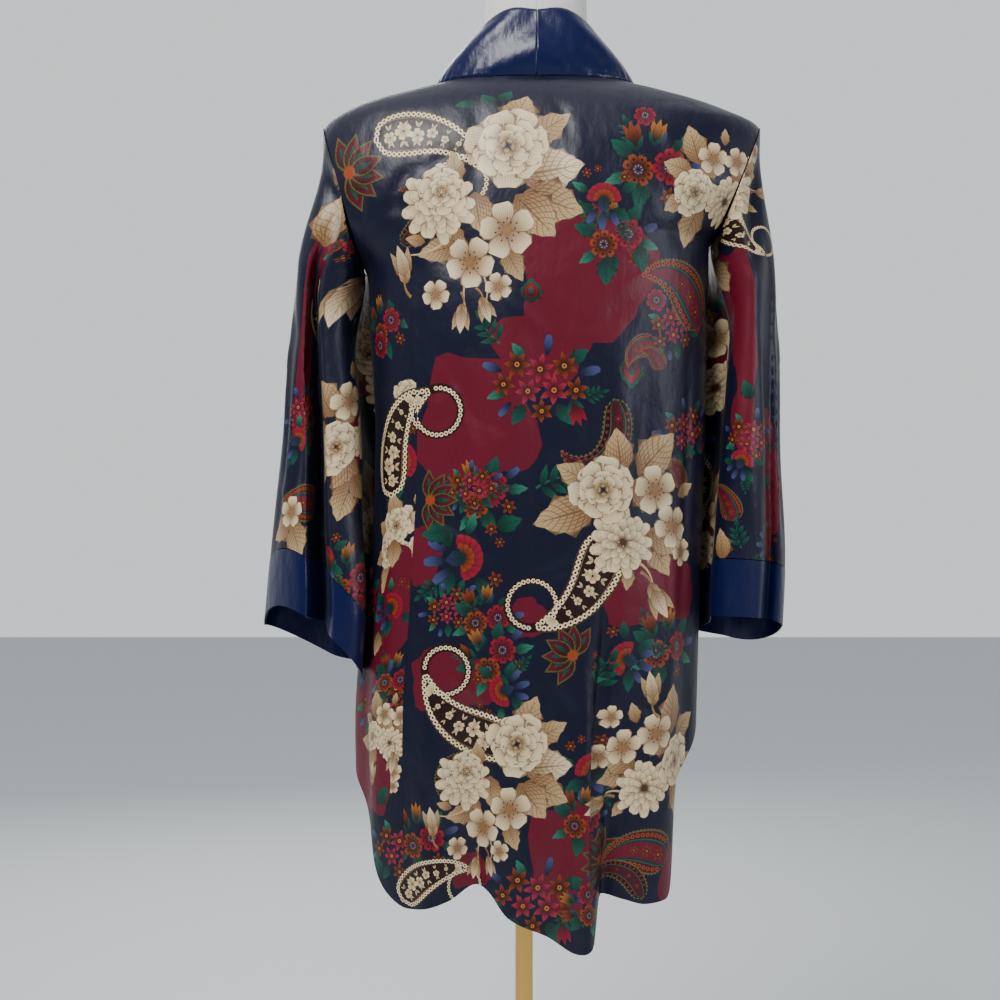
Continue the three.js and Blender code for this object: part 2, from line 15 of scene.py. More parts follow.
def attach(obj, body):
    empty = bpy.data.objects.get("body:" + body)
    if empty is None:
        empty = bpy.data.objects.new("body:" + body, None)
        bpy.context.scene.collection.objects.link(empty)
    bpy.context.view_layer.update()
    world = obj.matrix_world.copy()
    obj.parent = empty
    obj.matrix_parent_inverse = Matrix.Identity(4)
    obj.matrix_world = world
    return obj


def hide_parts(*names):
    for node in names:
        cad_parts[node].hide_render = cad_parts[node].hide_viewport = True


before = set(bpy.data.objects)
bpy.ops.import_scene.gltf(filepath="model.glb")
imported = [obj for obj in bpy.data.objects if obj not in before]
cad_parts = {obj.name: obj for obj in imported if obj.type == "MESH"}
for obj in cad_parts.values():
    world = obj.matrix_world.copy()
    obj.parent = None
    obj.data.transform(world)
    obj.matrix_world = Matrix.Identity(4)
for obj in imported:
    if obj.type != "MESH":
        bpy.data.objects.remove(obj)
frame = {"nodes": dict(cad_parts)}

LOG = logging.getLogger("robe")
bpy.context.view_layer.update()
MM = 0.001

Array = np.ndarray
Colour = tuple[float, float, float]


def linear(code: str) -> Colour:
    """Linear colour of a hexadecimal display colour.

    Args:
        code: Six hexadecimal digits.

    Returns:
        Red, green and blue in linear light.
    """
    parts = [int(code[i:i + 2], 16) / 255 for i in (0, 2, 4)]
    return tuple(c / 12.92 if c <= 0.04045 else ((c + 0.055) / 1.055) ** 2.4 for c in parts)


class Ink(Enum):
    """Dyes of the print."""

    NAVY = linear("0a0d24")
    MIDNIGHT = linear("07080f")
    CRIMSON = linear("5c0a20")
    WINE = linear("3d0716")
    IVORY = linear("dfcba2")
    CREAM = linear("b89d72")
    TAN = linear("84603d")
    UMBER = linear("4a2d1b")
    BARK = linear("1f0c07")
    TEAL = linear("0b5242")
    MINT = linear("277a60")
    FOREST = linear("072b26")
    RUST = linear("883a18")
    AMBER = linear("a8692a")
    ROSE = linear("8c1229")
    PINK = linear("a32742")
    SLATE = linear("232b4c")
    LILAC = linear("3e4672")
    OLIVE = linear("565028")


class Sheen(Enum):
    """How the shader draws on a patch of the print."""

    PLAIN = 0.0
    PETAL = 0.5
    LEAF = 1.0


class Lobe(Enum):
    """Outlines of petals and leaves."""

    ROUND = "round"
    RUFFLED = "ruffled"
    POINTED = "pointed"
    SERRATED = "serrated"
    NARROW = "narrow"


def smooth(t: Array) -> Array:
    """Eased step from 0 to 1."""
    c = np.clip(t, 0, 1)
    return c * c * (3 - 2 * c)


def power(value: Array, exponent: float) -> Array:
    """Signed power of a number."""
    return np.sign(value) * np.abs(value) ** exponent


def unit(rows: Array) -> Array:
    """Rows scaled to length one."""
    return rows / np.maximum(np.linalg.norm(rows, axis=-1, keepdims=True), 1e-9)


class Table:
    """One column of a table, read smoothly along another, with no overshoot."""

    def __init__(self, keys: Sequence[float], values: Sequence[float]) -> None:
        """Sorts the rows and works out their slopes.

        Args:
            keys: The column read along.
            values: The column read.
        """
        order = np.argsort(keys)
        self.keys = np.asarray(keys, float)[order]
        self.values = np.asarray(values, float)[order]
        self.slopes = np.zeros(len(order))
        for j in range(1, len(order) - 1):
            rise = np.diff(self.values[j - 1:j + 2])
            run = np.diff(self.keys[j - 1:j + 2])
            if rise[0] * rise[1] > 0:
                mean = rise.sum() / run.sum()
                self.slopes[j] = np.sign(mean) * min(abs(mean), 3 * np.abs(rise / run).min())

    def __call__(self, at: Array) -> Array:
        """Value at one or more keys.

        Args:
            at: The keys.

        Returns:
            The values, level beyond both ends.
        """
        at = np.asarray(at, float)
        i = np.clip(np.searchsorted(self.keys, at) - 1, 0, len(self.keys) - 2)
        span = self.keys[i + 1] - self.keys[i]
        t = np.clip((at - self.keys[i]) / span, 0, 1)
        h = t * t * (3 - 2 * t)
        bend = t * (1 - t) * ((1 - t) * self.slopes[i] - t * self.slopes[i + 1]) * span
        return self.values[i] * (1 - h) + self.values[i + 1] * h + bend


def columns(rows: Sequence[Sequence[float]], names: str) -> dict[str, Table]:
    """Tables of each named column, read along the first.

    Args:
        rows: The rows, with the key first.
        names: Names of the other columns, with spaces between.

    Returns:
        A table by each name.
    """
    data = np.asarray(rows, float)
    return {name: Table(data[:, 0], data[:, i + 1]) for i, name in enumerate(names.split())}


LEAN_FROM = 470
LEAN_SLOPE = -0.0126
OVAL = 2.4
NECK_TOP = 1411
NECK_DIP = 4


def lean(points: Array) -> Array:
    """The points moved sideways with height, as the form leans on its pole."""
    moved = np.array(points, float)
    moved[..., 0] += LEAN_SLOPE * (moved[..., 2] - LEAN_FROM)
    return moved


@dataclass(frozen=True)
class Crease:
    """A soft trough or ridge in the cloth, from one plan point to another, in millimetres."""

    x0: float
    z0: float
    x1: float
    z1: float
    width: float
    depth: float
    bow: float = 0.0

    def push(self, plan: Array) -> Array:
        """Outward push of the crease.

        Args:
            plan: Plan points, one a row.

        Returns:
            A push in millimetres for each.
        """
        start, end = np.array([self.x0, self.z0]), np.array([self.x1, self.z1])
        middle, reach = (start + end) / 2, np.linalg.norm(end - start) / 2
        along = (end - start) / (2 * reach)
        across = np.array([-along[1], along[0]])
        s = (plan - middle) @ along / reach
        q = (plan - middle) @ across - self.bow * (1 - s * s)
        return self.depth * np.exp(-(q / self.width) ** 2) * np.clip(1 - s * s, 0, 1) ** 1.5


class Cloth:
    """A worn cloth surface with a flat plan: x runs to the right as seen from outside, and z is up."""

    def place(self, plan: Array) -> Array:
        """Smooth surface points of plan points, in millimetres."""
        raise NotImplementedError

    def laid(self, plan: Array, creases: Sequence[Crease], lift: float) -> tuple[Array, Array]:
        """Surface points with their creases, and their normals.

        Args:
            plan: Plan points, one a row.
            creases: The soft troughs and ridges.
            lift: How far the points lie outside the surface.

        Returns:
            Points and outward normals.
        """
        step = 0.9

        def push(at: Array) -> Array:
            """Sum of the creases' pushes."""
            return sum((crease.push(at) for crease in creases), np.zeros(len(at)))

        right, up = np.array([step, 0]), np.array([0, step])
        point = self.place(plan)
        across = (self.place(plan + right) - self.place(plan - right)) / (2 * step)
        along = (self.place(plan + up) - self.place(plan - up)) / (2 * step)
        normal = unit(np.cross(across, along))
        slope_x = (push(plan + right) - push(plan - right)) / (2 * step)
        slope_z = (push(plan + up) - push(plan - up)) / (2 * step)
        tilt = slope_x[:, None] * unit(across) + slope_z[:, None] * unit(along)
        return point + normal * (push(plan) + lift)[:, None], unit(normal - tilt)


class RoundMap:
    """Turns distance round a stack of level loops into the loops' own parameter."""

    spacing = 2.0

    def __init__(self, loop: Callable[[Array, Array], Array], turns: Array, levels: Array,
                 origin: float, reach: tuple[float, float]) -> None:
        """Measures the loops.

        Args:
            loop: Points of a parameter and a height.
            turns: Parameters measured.
            levels: Heights measured, rising.
            origin: The parameter at distance nought.
            reach: Lowest and highest distance kept.
        """
        self.levels = levels
        self.turns = turns
        self.rounds = np.arange(reach[0], reach[1], self.spacing)
        grid = loop(turns[None, :], levels[:, None])
        steps = np.linalg.norm(np.diff(grid, axis=1), axis=2)
        total = np.concatenate([np.zeros((len(levels), 1)), np.cumsum(steps, axis=1)], axis=1)
        self.lengths = np.array([row - np.interp(origin, turns, row) for row in total])
        self.back = np.array([np.interp(self.rounds, row, turns) for row in self.lengths])

    def _blend(self, table: Array, keys: Array, at: Array, z: Array) -> Array:
        """Value of a grid at a key and a height, between its rows and columns."""
        r = np.clip((z - self.levels[0]) / (self.levels[1] - self.levels[0]), 0, len(self.levels) - 1.001)
        c = np.clip((at - keys[0]) / (keys[1] - keys[0]), 0, len(keys) - 1.001)
        i, j = r.astype(int), c.astype(int)
        r, c = r - i, c - j
        low = table[i, j] * (1 - c) + table[i, j + 1] * c
        high = table[i + 1, j] * (1 - c) + table[i + 1, j + 1] * c
        return low * (1 - r) + high * r

    def turn(self, distance: Array, z: Array) -> Array:
        """Parameter at a distance round and a height."""
        return self._blend(self.back, self.rounds, np.asarray(distance, float), np.asarray(z, float))

    def distance(self, turn: Array, z: Array) -> Array:
        """Distance round at a parameter and a height."""
        return self._blend(self.lengths, self.turns, np.asarray(turn, float), np.asarray(z, float))


# Rings of the body: height, half width on the left and right, depth at the back and front.
RINGS = (
    (1411, 107, 107, 62, 52), (1400, 143, 143, 74, 62), (1390, 180, 180, 82, 70),
    (1380, 205, 208, 88, 76), (1366, 224, 238, 94, 83), (1340, 236, 247, 102, 92),
    (1300, 240, 244, 109, 103), (1258, 225, 206, 112, 112), (1240, 206, 187, 113, 115),
    (1205, 176, 187, 114, 119), (1160, 174, 186, 115, 119), (1035, 166, 186, 113, 115),
    (950, 168, 184, 112, 114), (860, 176, 182, 113, 115), (740, 184, 180, 116, 118),
    (640, 181, 178, 118, 120), (510, 176, 176, 121, 122),
)
# Long folds: angle, width in degrees, depth, and the heights where they begin and are full.
FOLDS = (
    (105, 5, 16, 900, 560), (112.5, 4.5, -15, 900, 560), (75, 6, -15, 860, 590),
    (62, 7, 8, 900, 590), (88, 6, 6, 900, 590), (133, 9, 7, 950, 600), (152, 7, -8, 900, 620),
    (20, 9, -7, 1120, 700), (-24, 9, 7, 1120, 640), (-44, 7, -9, 1150, 600),
    (206, 9, 7, 1120, 640), (226, 7, -9, 1150, 600),
)
# Armholes: height and distance out at the shoulder, then at the armpit.
ARMHOLES = {"left": (1366, 224, 1205, 176), "right": (1366, 238, 1240, 187)}
# Side seams: height, angle on the left, angle on the right.
SIDE_SEAMS = (
    (1240, 0, 180), (1205, 0, 176), (1190, 22, 174), (1170, 38, 173), (1140, 47, 172),
    (1100, 49, 172), (500, 50, 172),
)
# Hem of the back: distance to the left, height.
BACK_HEM = (
    (-150, 566), (-120, 564), (-96, 570), (-74, 574), (-66, 526), (-51, 521), (-18, 538),
    (20, 556), (38, 578), (50, 584), (80, 569), (127, 558),
)
FRONT_HEM = 560
# How far the hem rises at a side, by degrees from it.
LEFT_RISE = ((0, 128), (12, 112), (23, 78), (31, 36), (40, 12), (52, 0))
RIGHT_RISE = ((0, 172), (16, 152), (25, 128), (31, 100), (37, 14), (44, 0))
# Front edges, where the band is sewn on: height, distance out.
FRONT_EDGE = (
    (1411, 107), (1400, 113), (1376, 111), (1330, 101), (1270, 88), (1180, 79), (1000, 77),
    (780, 78), (540, 79),
)
SHOULDER_TOP = 1366
SHOULDER_STRETCH = 1.8
HEM_LEVEL = 600.0


class BodyCloth(Cloth):
    """The body of the robe: level rings by angle, 0 the wearer's left, 90 the back, 270 the front."""

    def __init__(self) -> None:
        """Reads the tables and measures the rings."""
        self.rings = columns(RINGS, "left right back front")
        self.seams = columns(SIDE_SEAMS, "left right")
        self.back_hem = columns(BACK_HEM, "z")["z"]
        self.rises = {"left": columns(LEFT_RISE, "rise")["rise"],
                      "right": columns(RIGHT_RISE, "rise")["rise"]}
        self.front_edge = columns(FRONT_EDGE, "x")["x"]
        turns, levels = np.linspace(-70, 430, 1001), np.arange(500.0, 1413.0, 1.0)
        self.map = RoundMap(self.ring_point, turns, levels, origin=90, reach=(-560, 1080))

    def ring_point(self, angle: Array, z: Array) -> Array:
        """Outer surface points at angles in degrees and heights, before the lean."""
        angle, z = np.broadcast_arrays(np.asarray(angle, float), np.asarray(z, float))
        c, s = np.cos(np.radians(angle)), np.sin(np.radians(angle))
        half = np.where(c > 0, self.rings["left"](z), self.rings["right"](z))
        depth = np.where(s > 0, self.rings["back"](z), self.rings["front"](z))
        push = np.zeros_like(z)
        for at, width, deep, top, full in FOLDS:
            away = (angle - at + 540) % 360 - 180
            push = push + deep * smooth((top - z) / (top - full)) * np.exp(-(away / width) ** 2)
        x = half * power(c, 2 / OVAL) + push * c
        y = depth * power(s, 2 / OVAL) + push * s
        return np.stack([x, y, z], axis=-1)

    def angle_at(self, x: Array, z: Array, back: bool) -> Array:
        """Angle where the ring at a height reaches x, on the back or the front."""
        half = np.where(np.asarray(x) > 0, self.rings["left"](z), self.rings["right"](z))
        c = power(np.minimum(np.abs(x) / half, 1), OVAL / 2) * np.sign(x)
        turned = np.degrees(np.arccos(c))
        return turned if back else 360 - turned

    def armhole_angle(self, side: str, z: Array, back: bool) -> Array:
        """Angle of the armhole's edge at a height."""
        top_z, top_x, low_z, low_x = ARMHOLES[side]
        t = np.clip((top_z - z) / (top_z - low_z), 0, 1)
        x = top_x + (low_x - top_x) * t
        return self.angle_at(x if side == "left" else -x, z, back)

    def edge_angle(self, side: str, z: Array, back: bool) -> Array:
        """Outer edge of a panel at a height: shoulder seam, armhole, then side seam."""
        z = np.asarray(z, float)
        top_z, _, low_z, _ = ARMHOLES[side]
        turned = 360.0 if side == "left" and not back else 0.0
        shoulder = (0.0 if side == "left" else 180.0) + turned
        seam = self.seams[side](z) + turned
        return np.where(z >= top_z, shoulder,
                        np.where(z > low_z, self.armhole_angle(side, z, back), seam))

    def hem_height(self, angle: Array) -> Array:
        """Height of the hem at an angle."""
        turned = np.asarray(angle, float) % 360
        from_left = np.minimum(turned, 360 - turned)
        from_right = np.abs(180 - turned)
        rise = np.where(from_left < from_right, self.rises["left"](from_left),
                        self.rises["right"](from_right))
        x = self.ring_point(angle, np.full(np.shape(angle), HEM_LEVEL))[..., 0]
        on_back = (turned > 0) & (turned < 180)
        return np.where(on_back, self.back_hem(x), FRONT_HEM) + rise

    @staticmethod
    def plan_height(z: Array) -> Array:
        """Plan height of a real height: the shoulders are nearly flat, so they take more."""
        return z + (SHOULDER_STRETCH - 1) * np.maximum(np.asarray(z, float) - SHOULDER_TOP, 0)

    @staticmethod
    def real_height(up: Array) -> Array:
        """Real height of a plan height."""
        above = np.maximum(np.asarray(up, float) - SHOULDER_TOP, 0)
        return up - above + above / SHOULDER_STRETCH

    def plan(self, angle: Array, z: Array) -> Array:
        """Plan points of angles and heights."""
        angle, z = np.broadcast_arrays(np.asarray(angle, float), np.asarray(z, float))
        return np.stack([self.map.distance(angle, z), self.plan_height(z)], axis=-1)

    def place(self, plan: Array) -> Array:
        """Smooth surface points of plan points, in millimetres."""
        z = self.real_height(plan[:, 1])
        return lean(self.ring_point(self.map.turn(plan[:, 0], z), z))


@dataclass(frozen=True)
class SleeveFacts:
    """Sizes of one sleeve: hem heights, rises of the hem, and its loops from the top down.

    A row has the height, how far out the outer and inner edges are, how far back the inner edge
    is, the swell of the back and front layers, and where the fold is and how deep.
    """

    side: int
    outer: float
    inner: float
    back_rise: float
    front_rise: float
    fold_width: float
    rows: Sequence[tuple[float, ...]]


SLEEVES = {
    "left": SleeveFacts(side=1, outer=836, inner=790, back_rise=46, front_rise=0, fold_width=0.075, rows=(
        (1366, 224, 204, 30, 38, 46, 0.4, 0), (1273, 243, 203, 28, 40, 46, 0.4, 6),
        (1163, 256, 193, 26, 42, 46, 0.42, 38), (1045, 265, 179, 32, 46, 44, 0.48, 52),
        (950, 274, 175, 48, 46, 44, 0.54, 56), (863, 281, 169, 62, 44, 42, 0.58, 58),
        (780, 286, 172, 66, 42, 40, 0.6, 58))),
    "right": SleeveFacts(side=-1, outer=834, inner=848, back_rise=10, front_rise=-22, fold_width=0.09, rows=(
        (1366, 238, 214, 34, 46, 46, 0.25, 0), (1306, 245, 215, 34, 48, 46, 0.25, 0),
        (1232, 253, 213, 32, 48, 46, 0.25, 4), (1163, 260, 209, 31, 46, 46, 0.25, 8),
        (1014, 268, 199, 33, 46, 44, 0.26, 14), (906, 274, 192, 36, 44, 42, 0.27, 20),
        (800, 271, 189, 38, 42, 40, 0.28, 22))),
}
CUFF_DEPTH = 60
CUFF_GAP = 0.9
SLEEVE_BLEND = 0.3
ARMPIT_REACH = 70
ARMHOLE_GAP = 1.2
TUCK_AT = 0.86
TUCK_WIDTH = 0.09
TUCK_CLEAR = -1.0
TUCK_FORWARD = 24
TUCK_EASE = 0.05


class SleeveCloth(Cloth):
    """A hanging sleeve: level loops by turn, 0 the outer edge, a quarter the back, a half the inner edge."""

    def __init__(self, side: str, body: BodyCloth) -> None:
        """Reads the sleeve's tables.

        Args:
            side: The wearer's left or right.
            body: The robe's body, whose armhole the sleeve starts at.
        """
        self.name, self.body, self.facts = side, body, SLEEVES[side]
        self.side = self.facts.side
        self.read = columns(self.facts.rows, "out_x in_x in_y back front fold_at fold_depth")
        turns, levels = np.linspace(-0.5, 0.5, 601), np.arange(772.0, 1370.0, 4.0)
        self.map = RoundMap(self.hung, turns, levels, origin=0, reach=(-260, 260))

    def hung(self, turn: Array, z: Array) -> Array:
        """Points of the loops that hang free."""
        turn, z = np.broadcast_arrays(np.asarray(turn, float), np.asarray(z, float))
        a = 2 * np.pi * turn
        r = (1 - np.cos(a)) / 2
        read = {name: table(z) for name, table in self.read.items()}
        x = read["out_x"] + (read["in_x"] - read["out_x"]) * r
        swell = np.where(turn > 0, read["back"], read["front"]) * np.sin(a)
        fold = read["fold_depth"] * np.exp(-((r - read["fold_at"]) / self.facts.fold_width) ** 2)
        y = read["in_y"] * r + swell - np.where(turn > 0, fold, 0)
        return np.stack([self.side * x, y, z], axis=-1)

    def top(self, turn: Array) -> Array:
        """Points of the armhole."""
        top_z, _, low_z, _ = ARMHOLES[self.name]
        r = (1 - np.cos(2 * np.pi * turn)) / 2
        z = top_z + (low_z - top_z) * r
        angle = np.where(turn > 0, self.body.armhole_angle(self.name, z, True),
                         self.body.armhole_angle(self.name, z, False))
        return self.body.ring_point(angle, z)

    def hem(self, turn: Array) -> Array:
        """Height of the cuff's lower edge."""
        a = 2 * np.pi * turn
        r = (1 - np.cos(a)) / 2
        back = self.facts.back_rise * np.sin(a) * (1 - 0.5 * r)
        front = -self.facts.front_rise * np.sin(a)
        return (self.facts.outer + (self.facts.inner - self.facts.outer) * r
                + np.where(turn > 0, back, front))

    def plan(self, turn: Array, z: Array) -> Array:
        """Plan points of turns and heights."""
        turn, z = np.broadcast_arrays(np.asarray(turn, float), np.asarray(z, float))
        return np.stack([self.side * self.map.distance(turn, z), z], axis=-1)

    def place(self, plan: Array) -> Array:
        """Smooth surface points of plan points, in millimetres."""
        z = plan[:, 1]
        turn = np.clip(self.map.turn(self.side * plan[:, 0], z), -0.5, 0.5)
        hung, top = self.hung(turn, z), self.top(turn)
        low_z = ARMHOLES[self.name][2]
        above = smooth((top[:, 2] - low_z) / ARMPIT_REACH)
        share = (top[:, 2] - z) / (top[:, 2] - self.hem(turn) - CUFF_DEPTH)
        settle = smooth(share / SLEEVE_BLEND)[:, None]
        top[:, 0] += self.side * ARMHOLE_GAP * (3 - 2 * above)
        flat = top[:, :2] + (hung[:, :2] - top[:, :2]) * settle
        r = (1 - np.cos(2 * np.pi * turn)) / 2
        tuck = np.exp(-((r - TUCK_AT) / TUCK_WIDTH) ** 2) * smooth((1 - r) / TUCK_EASE) * (turn < 0)
        apart = self.side * flat[:, 0] - self.body.rings[self.name](z) - TUCK_CLEAR
        flat -= np.column_stack([self.side * np.maximum(apart, 0), TUCK_FORWARD * settle]) * tuck[:, None]
        return lean(np.column_stack([flat, z]))


@dataclass(frozen=True)
class Patch:
    """One printed shape: its outline, its colours from base to tip, and how the shader draws on it."""

    outline: Array
    low: Colour
    high: Colour
    base: Array
    tip: Array
    half: Array
    sheen: Sheen = Sheen.PLAIN

    def moved(self, at: Array, turn: float, size: float, flip: bool) -> "Patch":
        """The patch flipped, turned, sized and set down.

        Args:
            at: Where its origin goes.
            turn: Degrees anticlockwise.
            size: Scale.
            flip: Whether left and right are changed over.

        Returns:
            The new patch.
        """
        c, s = math.cos(math.radians(turn)), math.sin(math.radians(turn))
        matrix = np.array([[c, s], [-s, c]]) * size
        if flip:
            matrix = np.diag([-1.0, 1.0]) @ matrix
        at = np.asarray(at, float)
        return replace(self, outline=self.outline @ matrix + at, base=self.base @ matrix + at,
                       tip=self.tip @ matrix + at, half=self.half * size)

    def local(self, points: Array) -> Array:
        """How far along and across the patch points lie.

        Args:
            points: Plan points, one a row.

        Returns:
            A row for each: 0 to 1 from base to tip, and -1 to 1 across.
        """
        axis = self.tip - self.base
        length = max(float(axis @ axis), 1e-9)
        away = points - self.base
        u = np.clip(away @ axis / length, 0, 1)
        side = np.array([-axis[1], axis[0]]) / math.sqrt(length)
        w = np.interp(u, np.linspace(0, 1, len(self.half)), self.half)
        return np.column_stack([u, np.clip(away @ side / np.maximum(w, 0.05), -1, 1)])


Print = list[Patch]


def lobe(base: Sequence[float], tip: Sequence[float], half: float, form: Lobe,
         low: Ink, high: Ink, steps: int = 7) -> Patch:
    """A petal or a leaf.

    Args:
        base: Where it grows from.
        tip: Its far end.
        half: Half of its width.
        form: Its outline.
        low: Colour at the base.
        high: Colour at the tip.
        steps: Points down each side.

    Returns:
        The patch.
    """
    base, tip = np.asarray(base, float), np.asarray(tip, float)
    u = (1 - np.cos(np.linspace(0, np.pi, steps))) / 2
    skew = {Lobe.ROUND: 1.7, Lobe.RUFFLED: 1.9, Lobe.NARROW: 1.3}.get(form, 0.8)
    if form in (Lobe.POINTED, Lobe.SERRATED):
        w = np.sin(np.pi * u ** skew) ** 1.1
    else:
        w = np.sqrt(np.clip(1 - (2 * u ** skew - 1) ** 2, 0, 1))
    left, right = w.copy(), w.copy()
    if form in (Lobe.SERRATED, Lobe.RUFFLED):
        amount = 0.16 if form is Lobe.SERRATED else 0.1
        wave = amount * np.where(np.arange(steps) % 2, 1, -1)
        left, right = w * (1 + wave), w * (1 - wave)
    axis = tip - base
    side = np.array([-axis[1], axis[0]]) / max(np.linalg.norm(axis), 1e-9)
    middle = base + u[:, None] * axis
    notch = middle[-1] - axis * (0.07 if form in (Lobe.ROUND, Lobe.RUFFLED) else 0)
    outline = np.concatenate([
        [base], (middle + side * (left * half)[:, None])[1:-1], [notch],
        (middle - side * (right * half)[:, None])[1:-1][::-1],
    ])
    even = np.interp(np.linspace(0, 1, 12), u, w) * half
    kind = Sheen.LEAF if form in (Lobe.POINTED, Lobe.SERRATED) else Sheen.PETAL
    return Patch(outline, low.value, high.value, base, tip, even, kind)


def disc(x: float, y: float, radius: float, ink: Ink, sides: int = 7) -> Patch:
    """A round dot."""
    a = np.linspace(0, 2 * np.pi, sides, endpoint=False)
    outline = np.column_stack([x + radius * np.cos(a), y + radius * np.sin(a)])
    base = np.array([x, y - radius])
    return Patch(outline, ink.value, ink.value, base, base + [0, 2 * radius], np.full(2, radius))


def strip(line: Array, half: Array) -> Array:
    """Outline of a strip along a line, from half of its width at each point."""
    along = unit(np.gradient(line, axis=0))
    side = np.column_stack([-along[:, 1], along[:, 0]]) * np.asarray(half)[:, None]
    return np.concatenate([line + side, (line - side)[::-1]])


def ribbon(line: Array, widths: Array, ink: Ink) -> Patch:
    """A strip along a line, such as a stem.

    Args:
        line: Points of its middle.
        widths: Half of its width at each.
        ink: Its colour.

    Returns:
        The patch.
    """
    return Patch(strip(line, widths), ink.value, ink.value, line[0], line[-1] + 1e-3, np.full(2, 1.0))


def stem(x0: float, y0: float, x1: float, y1: float, bow: float, width: float, ink: Ink) -> Patch:
    """A curved stem between two points."""
    t = np.linspace(0, 1, 7)[:, None]
    start, end = np.array([x0, y0]), np.array([x1, y1])
    side = np.array([-(y1 - y0), x1 - x0])
    line = start + (end - start) * t + side * bow * 4 * t * (1 - t)
    return ribbon(line, width * (1 - 0.6 * t[:, 0]), ink)


def whorl(count: int, inner: float, outer: float, half: float, form: Lobe, low: Ink, high: Ink,
          start: float, jitter: float, steps: int) -> Print:
    """A ring of petals round the origin.

    Args:
        count: How many.
        inner: Radius of their bases.
        outer: Radius of their tips.
        half: Half of their width.
        form: Their outline.
        low: Colour at the base.
        high: Colour at the tip.
        start: Angle of the first, in degrees.
        jitter: How uneven they are, as a share.
        steps: Points down each side.

    Returns:
        The petals.
    """
    made = []
    for i in range(count):
        uneven = jitter * math.sin(2.7 * i + start)
        a = math.radians(start + 360 * i / count + 40 * uneven)
        ray = np.array([math.cos(a), math.sin(a)])
        made.append(lobe(ray * inner, ray * outer * (1 + uneven), half * (1 - 0.5 * uneven), form,
                         low, high, steps))
    return made


def peony() -> Print:
    """A full cream bloom of broad ruffled petals, one unit in radius."""
    made: Print = []
    for i, (count, outer, half, low, high) in enumerate((
            (7, 1.0, 0.42, Ink.UMBER, Ink.IVORY), (6, 0.82, 0.36, Ink.TAN, Ink.IVORY),
            (6, 0.62, 0.28, Ink.UMBER, Ink.IVORY), (5, 0.45, 0.2, Ink.TAN, Ink.IVORY),
            (5, 0.3, 0.12, Ink.BARK, Ink.CREAM), (4, 0.16, 0.08, Ink.UMBER, Ink.CREAM))):
        made += whorl(count, 0.22 * outer, outer, half, Lobe.RUFFLED, low, high, 31.0 * i, 0.1, 8)
    return made


def daisy() -> Print:
    """A cream bloom of many narrow petals, one unit in radius."""
    made: Print = []
    for i, (count, outer, half) in enumerate(((13, 1.0, 0.2), (12, 0.84, 0.17), (11, 0.67, 0.15),
                                              (9, 0.5, 0.12), (7, 0.33, 0.09))):
        low = Ink.TAN if i % 2 else Ink.UMBER
        made += whorl(count, 0.22 * outer, outer, half, Lobe.NARROW, low, Ink.IVORY, 11.0 * i, 0.09, 6)
    return made + [disc(0, 0, 0.1, Ink.UMBER)]


def blossom(low: Ink = Ink.TAN, high: Ink = Ink.IVORY, eye: Ink = Ink.TAN,
            dots: Ink = Ink.UMBER) -> Print:
    """An open five-petalled flower with dotted stamens, one unit in radius.

    Args:
        low: Colour at the petals' bases.
        high: Colour at their tips.
        eye: Colour of the middle.
        dots: Colour of the stamens.

    Returns:
        The patches.
    """
    petals, stamens = 5, 14
    made = whorl(petals, 0.05, 1.0, 1.72 / petals + 0.09, Lobe.ROUND, low, high, 90, 0.03, 7)
    made += [disc(0, 0, 0.16, eye)]
    for i in range(stamens):
        a = 2 * math.pi * i / stamens
        reach = 0.4 if i % 2 else 0.28
        made.append(disc(reach * math.cos(a), reach * math.sin(a), 0.04, dots, 5))
    return made


def star(low: Ink, high: Ink) -> Print:
    """A little flower of six pointed petals, one unit in radius."""
    made = whorl(6, 0.05, 1.0, 0.27, Lobe.POINTED, low, high, 18, 0.06, 6)
    return made + [disc(0, 0, 0.19, Ink.AMBER), disc(0, 0, 0.08, Ink.BARK, 5)]


def rosette(low: Ink, high: Ink, eye: Ink) -> Print:
    """A round flower of eight petals, each with a dark spot, one unit in radius.

    Args:
        low: Colour at the petals' bases, and of the spots.
        high: Colour at their tips.
        eye: Colour of the middle.

    Returns:
        The patches.
    """
    made = whorl(8, 0.2, 1.0, 0.3, Lobe.ROUND, low, high, 10, 0.03, 6)
    for reach, radius, ink, start in ((0.66, 0.09, low, 10), (0, 0.34, eye, 0), (0.23, 0.05, Ink.AMBER, 30)):
        for i in range(8 if reach else 1):
            a = math.radians(start + 45 * i)
            made.append(disc(reach * math.cos(a), reach * math.sin(a), radius, ink, 7))
    return made + [disc(0, 0, 0.1, Ink.MIDNIGHT, 6)]


def tulip(low: Ink, high: Ink) -> Print:
    """A closed little flower on green sepals, one unit high."""
    made = [lobe((0, -0.5), (side, top), 0.2, Lobe.POINTED, low, high, 6)
            for side, top in ((-0.34, 0.5), (0.34, 0.5), (0, 0.62))]
    return made + [lobe((0, -0.7), (side, -0.1), 0.12, Lobe.POINTED, Ink.FOREST, Ink.TEAL, 5)
                   for side in (-0.4, 0.4)]


def gem() -> Print:
    """A pointed drop of nested colours with a toothed edge, one unit high."""
    return [lobe((0, -1), (0, 1), 0.9, Lobe.SERRATED, Ink.FOREST, Ink.TEAL, 14),
            lobe((0, -0.78), (0, 0.7), 0.66, Lobe.POINTED, Ink.WINE, Ink.ROSE, 9),
            lobe((0, -0.5), (0, 0.4), 0.36, Lobe.POINTED, Ink.BARK, Ink.RUST, 8),
            lobe((0, -0.34), (0, 0.2), 0.2, Lobe.ROUND, Ink.SLATE, Ink.TEAL, 7)]


